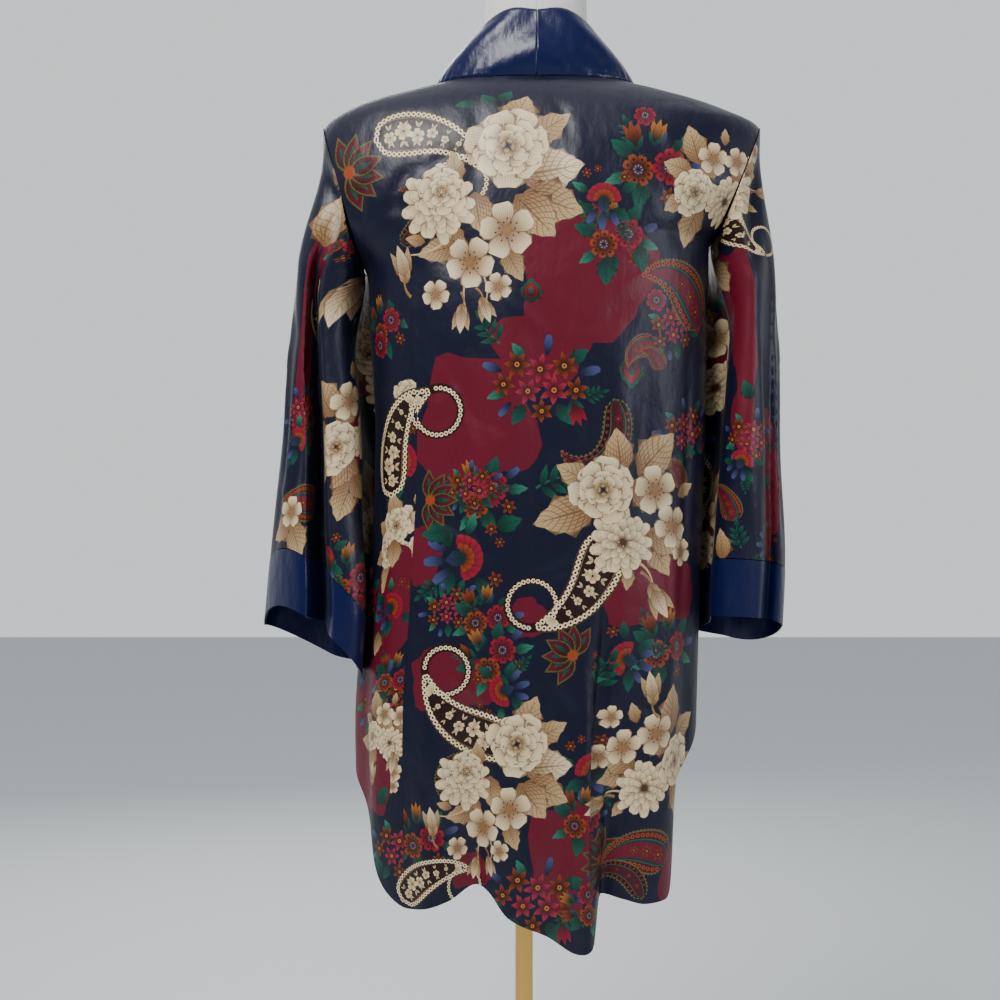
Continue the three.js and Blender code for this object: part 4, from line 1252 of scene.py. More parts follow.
class Shader:
    """Short ways to make and join shader nodes in one material."""

    def __init__(self, name: str) -> None:
        """Starts a material with a bare surface shader."""
        self.material = bpy.data.materials.new(name)
        self.material.use_nodes = True
        self.nodes = self.material.node_tree.nodes
        self.links = self.material.node_tree.links
        self.surface = self.nodes["Principled BSDF"]

    def put(self, target: bpy.types.NodeSocket, value: object) -> None:
        """Joins a socket, or sets its value."""
        if isinstance(value, bpy.types.NodeSocket):
            self.links.new(value, target)
        else:
            target.default_value = value

    def math(self, operation: str, *values: object, clamp: bool = False) -> bpy.types.NodeSocket:
        """Result of a math node."""
        node = self.nodes.new("ShaderNodeMath")
        node.operation, node.use_clamp = operation, clamp
        for socket, value in zip(node.inputs, values):
            self.put(socket, value)
        return node.outputs[0]

    def mix(self, share: object, a: object, b: object, kind: str = "MIX") -> bpy.types.NodeSocket:
        """Colour mixed from two."""
        node = self.nodes.new("ShaderNodeMix")
        node.data_type, node.blend_type = "RGBA", kind
        for key, value in ((0, share), (6, a), (7, b)):
            value = (*value, 1) if isinstance(value, tuple) and len(value) == 3 else value
            self.put(node.inputs[key], value)
        return node.outputs[2]

    def noise(self, scale: float, detail: float, stretch: tuple[float, float, float] = (1, 1, 1)
              ) -> bpy.types.NodeSocket:
        """Height of a noise in the object's own space."""
        place = self.nodes.new("ShaderNodeTexCoord")
        shape = self.nodes.new("ShaderNodeMapping")
        shape.inputs["Scale"].default_value = stretch
        node = self.nodes.new("ShaderNodeTexNoise")
        node.inputs["Scale"].default_value = scale
        node.inputs["Detail"].default_value = detail
        self.links.new(place.outputs["Object"], shape.inputs["Vector"])
        self.links.new(shape.outputs["Vector"], node.inputs["Vector"])
        return node.outputs[0]

    def bump(self, height: bpy.types.NodeSocket, distance: float, strength: float,
             under: bpy.types.NodeSocket | None = None) -> bpy.types.NodeSocket:
        """Normal raised by a height."""
        node = self.nodes.new("ShaderNodeBump")
        node.inputs["Distance"].default_value = distance
        node.inputs["Strength"].default_value = strength
        self.links.new(height, node.inputs["Height"])
        if under is not None:
            self.links.new(under, node.inputs["Normal"])
        return node.outputs[0]

    def finish(self, colour: object, **settings: object) -> bpy.types.Material:
        """Sets the surface's sockets by name, with spaces for underscores, and gives the material."""
        self.put(self.surface.inputs["Base Color"], (*colour, 1) if isinstance(colour, tuple) else colour)
        for name, value in settings.items():
            self.put(self.surface.inputs[name.replace("_", " ")], value)
        return self.material


@dataclass(frozen=True)
class Satin:
    """Smooth satin with a fine weave and a soft broad gloss."""

    name: str
    roughness: float
    tint: Colour | None = None
    threads: float = 1500
    rumples: float = 38

    @staticmethod
    def printed(s: Shader) -> bpy.types.NodeSocket:
        """Colour of the print, with veins on its leaves and streaks and edges on its petals.

        Args:
            s: The shader that it is made in.

        Returns:
            The colour.
        """
        ink = s.nodes.new("ShaderNodeAttribute")
        ink.attribute_name = "ink"
        spot = s.nodes.new("ShaderNodeUVMap")
        spot.uv_map = "petal"
        parts = s.nodes.new("ShaderNodeSeparateXYZ")
        s.links.new(spot.outputs[0], parts.inputs[0])
        veins, slope, rays, depth = 9.0, 2.2, 5.5, 0.8
        vein_width, rib_width, ray_width = 0.15, 0.09, 0.22
        u, v = parts.outputs[0], s.math("ABSOLUTE", parts.outputs[1])
        kind = ink.outputs["Alpha"]
        is_leaf = s.math("MULTIPLY", s.math("SUBTRACT", kind, 0.5), 2.0, clamp=True)
        drawn = s.math("MULTIPLY", kind, 2.0, clamp=True)
        slant = s.math("SUBTRACT", s.math("MULTIPLY", u, veins), s.math("MULTIPLY", v, slope))
        across = s.math("DIVIDE", s.math("PINGPONG", slant, 0.5), vein_width)
        vein = s.math("SUBTRACT", 1.0, across, clamp=True)
        rib = s.math("SUBTRACT", 1.0, s.math("DIVIDE", v, rib_width), clamp=True)
        leaf_lines = s.math("MULTIPLY", s.math("MAXIMUM", vein, rib), is_leaf)
        ray = s.math("PINGPONG", s.math("MULTIPLY", parts.outputs[1], rays), 0.5)
        streak = s.math("SUBTRACT", 1.0, s.math("DIVIDE", ray, ray_width), clamp=True)
        streak = s.math("MULTIPLY", streak, s.math("SUBTRACT", 1.3, u, clamp=True))
        edge = s.math("DIVIDE", s.math("SUBTRACT", v, 0.82), 0.12, clamp=True)
        end = s.math("DIVIDE", s.math("SUBTRACT", u, 0.94), 0.04, clamp=True)
        lines = s.math("MAXIMUM", s.math("MAXIMUM", leaf_lines, streak), s.math("MAXIMUM", edge, end))
        share = s.math("MULTIPLY", s.math("MULTIPLY", lines, drawn), depth)
        shade = s.mix(1.0, ink.outputs["Color"], linear("6f4a38"), "MULTIPLY")
        return s.mix(share, ink.outputs["Color"], shade)

    def build(self) -> bpy.types.Material:
        """The material: the print's own inks, or one dye."""
        s = Shader(self.name)
        colour = self.printed(s) if self.tint is None else (*self.tint, 1)
        uneven = s.math("ADD", 0.88, s.math("MULTIPLY", s.noise(9, 2), 0.24))
        colour = s.mix(1.0, colour, s.mix(uneven, (0.0, 0.0, 0.0), (1.0, 1.0, 1.0)), "MULTIPLY")
        weave = s.bump(s.noise(self.threads, 1, (1, 1, 0.25)), 0.0002, 0.18)
        rumple = s.bump(s.noise(self.rumples, 4, (1, 1, 0.5)), 0.006, 0.42, weave)
        return s.finish(colour, Roughness=self.roughness, Specular_IOR_Level=0.36, Sheen_Weight=0.02,
                        Sheen_Roughness=0.35, Anisotropic=0.4, Normal=rumple)


@dataclass(frozen=True)
class Linen:
    """Plain woven linen stretched over the form."""

    name: str
    tint: Colour

    def build(self) -> bpy.types.Material:
        """The material."""
        s = Shader(self.name)
        threads = s.math("MULTIPLY", s.noise(700, 2, (1, 1, 0.15)), s.noise(700, 2, (0.15, 0.15, 1)))
        between = tuple(0.8 * c for c in self.tint)
        colour = s.mix(s.math("MULTIPLY", threads, 1.4, clamp=True), between, self.tint)
        return s.finish(colour, Roughness=0.88, Sheen_Weight=0.15, Normal=s.bump(threads, 0.0004, 0.5))


@dataclass(frozen=True)
class Brass:
    """Polished brass with faint turning marks."""

    name: str
    tint: Colour

    def build(self) -> bpy.types.Material:
        """The material."""
        s = Shader(self.name)
        marks = s.noise(60, 3, (1, 1, 6))
        rough = s.math("ADD", 0.2, s.math("MULTIPLY", marks, 0.08))
        return s.finish(self.tint, Metallic=1.0, Roughness=rough, Normal=s.bump(marks, 0.0002, 0.03))


def plain_object(name: str, points: Array, faces: Sequence[Sequence[int]],
                 material: bpy.types.Material) -> bpy.types.Object:
    """A mesh object of one material.

    Args:
        name: Its name.
        points: Its points, in millimetres.
        faces: Its faces, as rows of point numbers.
        material: Its material.

    Returns:
        The object.
    """
    mesh = bpy.data.meshes.new(name)
    mesh.from_pydata((points * MM).tolist(), [], faces)
    mesh.materials.append(material)
    made = bpy.data.objects.new(name, mesh)
    bpy.context.scene.collection.objects.link(made)
    return made


def smoothed(piece: bpy.types.Object) -> bpy.types.Object:
    """The piece with all its faces shaded smooth."""
    polygons = piece.data.polygons
    polygons.foreach_set("use_smooth", np.ones(len(polygons), bool))
    return piece


def make_object(name: str, points: Array, faces: Sequence[Sequence[int]], normals: Array,
                materials: Sequence[bpy.types.Material], slots: Array | None = None) -> bpy.types.Object:
    """A smooth mesh object with its own normals.

    Args:
        name: The piece's name.
        points: Its points, in millimetres.
        faces: Its faces, as rows of point numbers.
        normals: A normal for each point.
        materials: Its materials.
        slots: The material number of each face.

    Returns:
        The object.
    """
    made = smoothed(plain_object(name, points, faces, materials[0]))
    mesh = made.data
    for material in materials[1:]:
        mesh.materials.append(material)
    if slots is not None:
        mesh.polygons.foreach_set("material_index", np.asarray(slots, np.int32))
    mesh.normals_split_custom_set_from_vertices(unit(normals).tolist())
    mesh.update()
    return made


def signed_area(outline: Array) -> float:
    """Area inside an outline, negative if it runs clockwise."""
    x, y = outline[:, 0], outline[:, 1]
    return float(np.sum(x * np.roll(y, -1) - np.roll(x, -1) * y) / 2)


def inside_box(outline: Array, box: tuple[Array, Array]) -> bool:
    """Whether an outline reaches into a box."""
    return bool((outline.max(0) > box[0]).all() and (outline.min(0) < box[1]).all())


def triangulate(outlines: Sequence[Array], loose: Array) -> tuple[Array, Array, Array]:
    """Triangles of the first outline, cut along all others.

    Args:
        outlines: Closed outlines, the panel's own first, later ones on top.
        loose: Further points inside.

    Returns:
        Points, triangles, and the number of the topmost outline over each triangle.
    """
    turned = [o if signed_area(o) > 0 else o[::-1] for o in outlines]
    points = np.concatenate([*turned, loose])
    faces, start = [], 0
    for outline in turned:
        faces.append(list(range(start, start + len(outline))))
        start += len(outline)
    made = delaunay_2d_cdt([Vector(p) for p in points.tolist()], [], faces, 1, 1e-3, True)
    spots, triangles, sources = np.array([(p.x, p.y) for p in made[0]]), made[2], made[5]
    kept = [(t, max(s)) for t, s in zip(triangles, sources) if 0 in s and len(t) == 3]
    faces_kept = np.array([t for t, _ in kept])
    used, packed = np.unique(faces_kept, return_inverse=True)
    return spots[used], packed.reshape(-1, 3), np.array([top for _, top in kept])


def rim_loop(triangles: Array) -> list[int]:
    """The longest loop of edges that only one triangle has, in order."""
    edges = np.concatenate([triangles[:, [0, 1]], triangles[:, [1, 2]], triangles[:, [2, 0]]])
    seen = {(a, b) for a, b in edges.tolist()}
    following = {a: b for a, b in seen if (b, a) not in seen}
    longest: list[int] = []
    while following:
        start, at = next(iter(following.items()))
        loop = [start]
        del following[start]
        while at != start and at in following:
            loop.append(at)
            at = following.pop(at)
        longest = max(longest, loop, key=len)
    return longest


@dataclass
class Panel:
    """One cut piece of printed cloth, laid on its surface as a thin closed shell."""

    name: str
    cloth: Cloth
    outline: Array
    creases: Sequence[Crease] = ()
    print: Print = field(default_factory=list)
    thickness: float = 1.0
    across: float = 4.6
    up: float = 7.0
    lift: float = 0.0
    fine_from: float = 1345.0

    def grid(self, across: float, up: float) -> Array:
        """Loose points over the panel's box, twice as close up where the shoulders bend.

        Args:
            across: Distance between points in a row.
            up: Distance between rows.

        Returns:
            The points.
        """
        low, high = self.outline.min(0), self.outline.max(0)
        rows = np.arange(low[1] + up / 2, high[1], up)
        rows = np.union1d(rows, np.arange(self.fine_from, high[1], up / 2))
        x = np.arange(low[0] + across / 2, high[0], across)
        return np.array([(a + (across / 2 if i % 2 else 0), z) for i, z in enumerate(rows) for a in x])

    def build(self, face: bpy.types.Material, reverse: bpy.types.Material) -> bpy.types.Object:
        """Cuts the panel along its print and lays it on the surface.

        Args:
            face: Material of the right side.
            reverse: Material of the wrong side.

        Returns:
            The piece.
        """
        box = self.outline.min(0), self.outline.max(0)
        shapes = [p for p in self.print if inside_box(p.outline, box)]
        plan, triangles, tops = triangulate([self.outline, *[p.outline for p in shapes]],
                                            self.grid(self.across, self.up))
        loop = rim_loop(triangles)
        rim = plan[loop]
        under, under_faces, _ = triangulate([rim], self.grid(self.across, self.up * 2))
        match = {tuple(np.round(p, 3)): i for i, p in enumerate(under)}
        far = [match.get(tuple(np.round(p, 3)), -1) for p in rim]
        outer, outer_normals = self.cloth.laid(plan, self.creases, self.lift)
        inner, inner_normals = self.cloth.laid(under, self.creases, self.lift - self.thickness)
        count = len(outer)
        faces = triangles.tolist() + (under_faces[:, ::-1] + count).tolist()
        for i, here in enumerate(loop):
            j = (i + 1) % len(loop)
            if far[i] >= 0 and far[j] >= 0:
                faces.append([here, far[i] + count, far[j] + count, loop[j]])
        slots = np.ones(len(faces), int)
        slots[:len(triangles)] = 0
        made = make_object(self.name, np.concatenate([outer, inner]), faces,
                           np.concatenate([outer_normals, -inner_normals]), (face, reverse), slots)
        if shapes:
            self.dye(made, plan, triangles, tops, shapes)
        LOG.info("%s: %d faces, %d shapes, rim %d of %d", self.name, len(faces), len(shapes),
                 sum(f >= 0 for f in far), len(loop))
        return made

    def dye(self, made: bpy.types.Object, plan: Array, triangles: Array, tops: Array,
            shapes: Print) -> None:
        """Writes the print's colours and the petals' own directions to the mesh.

        Args:
            made: The piece.
            plan: Plan points of its right side.
            triangles: Its right side's triangles.
            tops: The topmost shape over each triangle, 0 for the ground.
            shapes: The shapes.
        """
        mesh = made.data
        corners = len(mesh.loops)
        ink = np.tile(np.array([*Ink.NAVY.value, 0.0]), (corners, 1))
        spot = np.zeros((corners, 2))
        order = np.argsort(tops, kind="stable")
        starts = np.searchsorted(tops[order], np.arange(len(shapes) + 2))
        for number, shape in enumerate(shapes, 1):
            mine = order[starts[number]:starts[number + 1]]
            if not len(mine):
                continue
            at = (mine[:, None] * 3 + np.arange(3)).ravel()
            local = shape.local(plan[triangles[mine].ravel()])
            low, high = np.array(shape.low), np.array(shape.high)
            ink[at, :3] = low + (high - low) * smooth(local[:, :1] * 1.02)
            ink[at, 3] = shape.sheen.value
            spot[at] = local
        layer = mesh.color_attributes.new("ink", "FLOAT_COLOR", "CORNER")
        layer.data.foreach_set("color", ink.astype(np.float32).ravel())
        mesh.uv_layers.new(name="petal").data.foreach_set("uv", spot.astype(np.float32).ravel())


def walk(*parts: Array) -> Array:
    """One closed outline from runs of plan points, with those left out that are nearly repeats."""
    repeat = 0.3
    line = np.concatenate(parts)
    return line[np.linalg.norm(line - np.roll(line, 1, axis=0), axis=1) > repeat]


@dataclass(frozen=True)
class PhotoView:
    """The camera's place in millimetres, its lens, and its frame in pixels."""

    x: float = 25.8
    y: float = 1610.0
    z: float = 970.0
    lens: float = 54.0
    sensor: float = 36.0
    frame: float = 1000.0

    def seen_at(self, across: float, down: float, depth: float) -> tuple[float, float]:
        """Robe x and height of a photo pixel on an upright plane.

        Args:
            across: Pixel across.
            down: Pixel down.
            depth: The plane's y.

        Returns:
            x before the lean, and height, in millimetres.
        """
        pixel = (self.y - depth) / (self.frame * self.lens / self.sensor)
        z = self.z + (self.frame / 2 - down) * pixel
        return self.x + (self.frame / 2 - across) * pixel - LEAN_SLOPE * (z - LEAN_FROM), z


@dataclass
class Robe:
    """The robe: back, fronts, sleeves, cuffs and band, all sewn on one body surface."""

    thickness: float = 1.0
    cuff_thickness: float = 1.8
    edge_gap: float = 0.12
    body: BodyCloth = field(default_factory=BodyCloth)
    book: PrintBook = field(default_factory=PrintBook)
    view: PhotoView = field(default_factory=PhotoView)
    back_depth: float = 110.0
    sleeve_depth: float = 55.0
    print_top: float = 1405.0
    edge_step: float = 0.006
    band_tuck: float = 0.3

    def body_spot(self, item: Placed, turned: float = 0.0) -> Array:
        """Plan point of a motif on the body.

        Args:
            item: The motif.
            turned: Degrees added for a panel that is reached the long way round.

        Returns:
            The point.
        """
        if not item.seen:
            return self.body.plan(item.x, item.y)
        x, z = self.view.seen_at(item.x, item.y, self.back_depth)
        z = min(z, self.print_top)
        return self.body.plan(self.body.angle_at(x, z, True) + turned, z)

    def sleeve_spot(self, item: Placed, cloth: SleeveCloth) -> Array:
        """Plan point of a motif on a sleeve."""
        if not item.seen:
            return np.array([item.x * cloth.side, item.y])
        x, z = self.view.seen_at(item.x, item.y, self.sleeve_depth)
        turns = np.linspace(0.0, 0.49, 99)
        hung = cloth.hung(turns, np.full(len(turns), z))
        return cloth.plan(turns[np.argmin(np.abs(hung[:, 0] - x))], z)

    def drawn(self, items: Sequence[Placed], spot: Callable[[Placed], Array]) -> Print:
        """Patches of a panel's motifs, in order."""
        return [patch for item in items
                for patch in self.book.set_down(item.motif, spot(item), item.turn, item.size, item.flip)]

    def back_outline(self) -> Array:
        """Outline of the back in the plan."""
        body, gap = self.body, self.edge_gap
        heights = np.append(np.arange(0, 1, self.edge_step), 1)
        near_hem = 520

        def side(name: str, sign: float) -> Array:
            """One side edge, from the neck down to the hem."""
            z = NECK_TOP + (near_hem - NECK_TOP) * heights
            angle = body.edge_angle(name, z, True) + sign * gap
            low = body.hem_height(np.array([angle[-1]]))[0]
            z = NECK_TOP + (low - NECK_TOP) * heights
            return body.plan(body.edge_angle(name, z, True) + sign * gap, z)

        left, right = side("left", 1), side("right", -1)
        hem_angles = np.linspace(body.seams["left"](near_hem) + gap, body.seams["right"](near_hem) - gap, 150)
        hem = body.plan(hem_angles, body.hem_height(hem_angles))
        top_angles = np.linspace(180 - gap, gap, 70)
        top = body.plan(top_angles, NECK_TOP - NECK_DIP * np.sin(np.radians(top_angles)) ** 2)
        return walk(left, hem[1:-1], right[::-1], top[1:-1])

    def front_outline(self, name: str) -> Array:
        """Outline of a front in the plan."""
        body, gap = self.body, self.edge_gap
        sign = 1 if name == "left" else -1
        fine, step = 0.018, self.edge_step
        heights = np.concatenate([np.arange(0, fine, step / 5), np.arange(fine, 1, step), [1]])
        top, tuck = NECK_TOP - 0.6, self.band_tuck

        def run(edge: Callable[[Array], Array]) -> Array:
            """Points down one edge, from the top to the hem, closest together at the shoulder."""
            low = body.hem_height(edge(np.array([HEM_LEVEL])))[0]
            z = top + (low - top) * heights
            return body.plan(edge(z), z)

        outer = run(lambda z: body.edge_angle(name, z, False) - sign * gap)
        band = run(lambda z: body.angle_at(sign * (body.front_edge(z) + tuck), z, False))
        ends = [float(body.edge_angle(name, HEM_LEVEL, False)) - sign * gap,
                float(body.angle_at(sign * (body.front_edge(HEM_LEVEL) + tuck), HEM_LEVEL, False))]
        hem_angles = np.linspace(ends[0], ends[1], 80)
        hem = body.plan(hem_angles, body.hem_height(hem_angles))
        return walk(outer, hem[1:-1], band[::-1])

    @staticmethod
    def sleeve_outline(cloth: SleeveCloth, cuff: bool) -> Array:
        """Outline of a sleeve or a cuff in the plan."""
        end_turn = 0.4995
        turns = np.linspace(-end_turn, end_turn, 160)
        low = cloth.hem(turns)
        top_z, _, low_z, _ = ARMHOLES[cloth.name]
        r = (1 - np.cos(2 * np.pi * turns)) / 2
        high = low + CUFF_DEPTH - CUFF_GAP if cuff else top_z + (low_z - top_z) * r
        low = low if cuff else low + CUFF_DEPTH
        shares = np.linspace(0, 1, 12 if cuff else 60)
        ends = [cloth.plan(turns[i], low[i] + (high[i] - low[i]) * shares) for i in (0, -1)]
        return walk(cloth.plan(turns, low), ends[1][1:-1], cloth.plan(turns, high)[::-1], ends[0][1:-1][::-1])

    def panels(self) -> list[Panel]:
        """Every printed panel and both cuffs."""
        body = self.body
        made = [
            Panel("robe_back", body, self.back_outline(), BACK_CREASES,
                  self.drawn(BACK_PRINT, self.body_spot), self.thickness),
            Panel("robe_front_left", body, self.front_outline("left"), FRONT_CREASES,
                  self.drawn(FRONT_LEFT_PRINT, self.body_spot)
                  + self.drawn(FRONT_LEFT_SEEN, lambda item: self.body_spot(item, 360.0)), self.thickness),
            Panel("robe_front_right", body, self.front_outline("right"), FRONT_CREASES,
                  self.drawn(FRONT_RIGHT_PRINT, self.body_spot), self.thickness),
        ]
        for name, items in (("left", SLEEVE_LEFT_PRINT), ("right", SLEEVE_RIGHT_PRINT)):
            cloth = SleeveCloth(name, body)
            creases = SLEEVE_CREASES if name == "left" else mirrored(SLEEVE_CREASES)
            drawn = self.drawn(items, lambda item, c=cloth: self.sleeve_spot(item, c))
            made.append(Panel(f"robe_sleeve_{name}", cloth, self.sleeve_outline(cloth, False), creases,
                              drawn, self.thickness))
            made.append(Panel(f"robe_cuff_{name}", cloth, self.sleeve_outline(cloth, True),
                              thickness=self.cuff_thickness, across=3.0, up=4.0, lift=0.5))
        return made


# Band behind the neck: angle of its seam, then the free edge's place and how flat it lies.
BAND_NAPE = (
    (90, 0, 60, 1477, 0), (64, 27, 57, 1479, 0), (40, 50, 44, 1470, 0), (20, 68, 25, 1455, 0),
    (0, 80, 2, 1440, 0),
)
# Band in front: distance out and height of its seam, then as above.
BAND_FRONT = (
    (113, 1400, 82, -28, 1424, 0.5), (111, 1376, 76, -58, 1398, 1), (101, 1330, 58, -86, 1350, 1),
    (88, 1270, 35, -105, 1286, 1), (79, 1180, 18, -118, 1186, 1), (77, 1000, 15, -114, 1000, 1),
    (78, 780, 16, -116, 780, 1), (79, 558, 17, -120, 557, 1),
)


class EdgeCurve:
    """A smooth curve through points, with even bends where they are close together."""

    def __init__(self, points: Array) -> None:
        """Keeps the points with one more beyond each end."""
        self.points = np.concatenate([[2 * points[0] - points[1]], points, [2 * points[-1] - points[-2]]])

    def __call__(self, t: Array) -> Array:
        """Points at shares from 0 to 1."""
        count = len(self.points) - 3
        at = np.clip(np.asarray(t, float), 0, 1) * count
        i = np.minimum(at.astype(int), count - 1)
        w = (at - i)[:, None]
        p = [self.points[i + k] for k in range(4)]
        d = [np.maximum(np.linalg.norm(p[k + 1] - p[k], axis=1, keepdims=True), 1e-8) ** 0.5
             for k in range(3)]
        a = ((p[1] - p[0]) / d[0] - (p[2] - p[0]) / (d[0] + d[1]) + (p[2] - p[1]) / d[1]) * d[1]
        b = ((p[2] - p[1]) / d[1] - (p[3] - p[1]) / (d[1] + d[2]) + (p[3] - p[2]) / d[2]) * d[1]
        return (p[1] + a * w + (-3 * p[1] + 3 * p[2] - 2 * a - b) * w ** 2
                + (2 * p[1] - 2 * p[2] + a + b) * w ** 3)


@dataclass
class Band:
    """One half of the plain band round the neck and down the front."""

    name: str
    body: BodyCloth
    swell: float = 5.0
    thickness: float = 1.8
    along: int = 300
    across: int = 22
    wave: float = 1.6
    neck_lift: float = 0.45
    seam_inset: float = 0.3
    nape_gap: float = 0.15

    @property
    def sign(self) -> int:
        """1 on the wearer's left, and -1 on the right."""
        return 1 if self.name == "left" else -1

    def front_y(self, x: Array, z: Array) -> Array:
        """How far forward the robe's front lies at x, counted outwards, and a height."""
        angle = self.body.angle_at(self.sign * np.maximum(x, 1), z, False)
        return self.body.ring_point(angle, z)[..., 1]

    def surface(self, t: Array, across: Array) -> Array:
        """Outer points at a share down the band and a share from its seam to its free edge."""
        sewn, free, flats = [], [], []
        for angle, x, y, z, flat in BAND_NAPE:
            dip = NECK_TOP - NECK_DIP * math.sin(math.radians(angle)) ** 2
            seam = self.body.ring_point(angle if self.sign > 0 else 180 - angle, dip)
            sewn.append((seam[0] * self.sign, seam[1], seam[2] + self.neck_lift))
            free.append((x, y, z))
            flats.append(flat)
        for seam_x, seam_z, x, y, z, flat in BAND_FRONT:
            seam_x -= self.seam_inset
            sewn.append((seam_x, float(self.front_y(np.array(seam_x), seam_z)), seam_z))
            free.append((x, y, z))
            flats.append(flat)
        seam, edge = EdgeCurve(np.array(sewn))(t), EdgeCurve(np.array(free, float))(t)
        point = seam + (edge - seam) * across[:, None]
        flat = Table(np.linspace(0, 1, len(flats)), flats)(t)
        out = unit(point * [1, 1, 0])
        point = point + out * (self.swell * np.sin(np.pi * across) * (1 - flat))[:, None]
        point[:, 1] += (self.front_y(point[:, 0], point[:, 2]) - point[:, 1]) * flat
        return point

    def build(self, satin: bpy.types.Material) -> bpy.types.Object:
        """Lays the band as a closed shell with soft puckers along its seam.

        Args:
            satin: Its material.

        Returns:
            The piece.
        """
        t, a = np.meshgrid(np.linspace(0, 1, self.along), np.linspace(0, 1, self.across), indexing="ij")
        t, a = t.ravel(), a.ravel()
        u, v = np.clip(t, 0.003, 0.997), np.clip(a, 0.01, 0.99)
        across = self.surface(u, v + 0.01) - self.surface(u, v - 0.01)
        along = self.surface(u + 0.003, v) - self.surface(u - 0.003, v)
        point, normal = self.surface(t, a), unit(np.cross(across, along))
        turn = np.sum(normal * np.column_stack([point[:, 0], point[:, 1], np.full(len(t), 40.0)]), axis=1)
        normal *= np.where(turn < 0, -1, 1)[:, None]
        pucker = 0.35 * np.sin(61 * np.pi * t + 2 * a) * np.exp(-(a / 0.2) ** 2)
        ripple = (self.wave * np.sin(np.pi * a) * np.sin(23 * t + 3.2 * a) * np.sin(9 * t + 1)
                  * (1 - 0.3 * smooth((t - 0.5) * 4)))
        ripple += 2.6 * np.sin(np.pi * a) * np.sin(34 * t + 4.5 * a + 0.6) * np.exp(-(t / 0.24) ** 2)
        stitch = -0.35 * np.exp(-((a - 0.05) / 0.02) ** 2)
        edge = 0.5 * np.exp(-((a - 1) / 0.05) ** 2)
        push = pucker + ripple + stitch + edge + 0.2
        outer = point + normal * push[:, None]
        inner = outer - normal * self.thickness
        for layer in (outer, inner):
            layer[:, 0] = np.where(t == 0, self.nape_gap, layer[:, 0]) * self.sign
        grid = np.arange(len(t)).reshape(self.along, self.across)
        n = len(t)
        a0, b0, c0, d0 = grid[:-1, :-1], grid[1:, :-1], grid[1:, 1:], grid[:-1, 1:]
        skin = np.stack([a0, b0, c0, d0], axis=-1).reshape(-1, 4)
        edge_run = np.concatenate([grid[:-1, 0], grid[-1, :-1], grid[:0:-1, -1], grid[0, :0:-1]])
        rim = np.stack([edge_run, np.roll(edge_run, -1)], axis=-1)
        sides = np.column_stack([rim[:, ::-1], rim + n])
        faces = np.concatenate([skin, skin[:, ::-1] + n, sides])
        if self.sign > 0:
            faces = faces[:, ::-1]
        made = make_object(f"robe_band_{self.name}", lean(np.concatenate([outer, inner])), faces.tolist(),
                           np.zeros((2 * n, 3)) + [0, 0, 1], (satin,))
        made.data.normals_split_custom_set_from_vertices(self.even_normals(made.data))
        return made

    @staticmethod
    def even_normals(mesh: bpy.types.Mesh) -> list[list[float]]:
        """Each point's normal as its faces give it."""
        normals = np.zeros((len(mesh.vertices), 3))
        points = np.array([v.co for v in mesh.vertices])
        for face in mesh.polygons:
            corners = list(face.vertices)
            cross = np.cross(points[corners[2]] - points[corners[0]], points[corners[3]] - points[corners[1]])
            normals[corners] += cross
        return unit(normals).tolist()


# Rings of the form: height, half width, depth at the back and front, and how far forward they stand.
NECK_RINGS = (
    (1524, 40, 40, 40, 7), (1522.6, 48, 48, 48, 7), (1519, 52.4, 52.4, 52.4, 7), (1514, 54, 54, 54, 7),
    (1485, 55, 55, 54, 7), (1458, 58, 55, 53, 6), (1438, 67, 56, 52, 4), (1422, 84, 58, 50, 2),
)
TORSO_RINGS = (
    (1363.9, 205, 88, 72, 0), (1340, 203, 93, 80, 0), (1300, 190, 98, 90, 0), (1250, 170, 100, 98, 0),
    (1205, 156, 100, 102, 0), (1140, 142, 96, 94, 0), (1040, 122, 82, 78, 0), (940, 140, 86, 84, 0),
    (850, 152, 92, 88, 0), (770, 149, 89, 85, 0), (762, 146, 86, 82, 0), (760, 138, 78, 74, 0),
)
# Rings under the robe's shoulders: height, and how far inside the robe's rings the form stays.
SEAT_INSETS = ((1411, 5, 5, 8), (1400, 0.9, 1.2, 8), (1390, 1.6, 1.8, 8), (1380, 3, 3, 8))
SEAT_DROP = 2.1


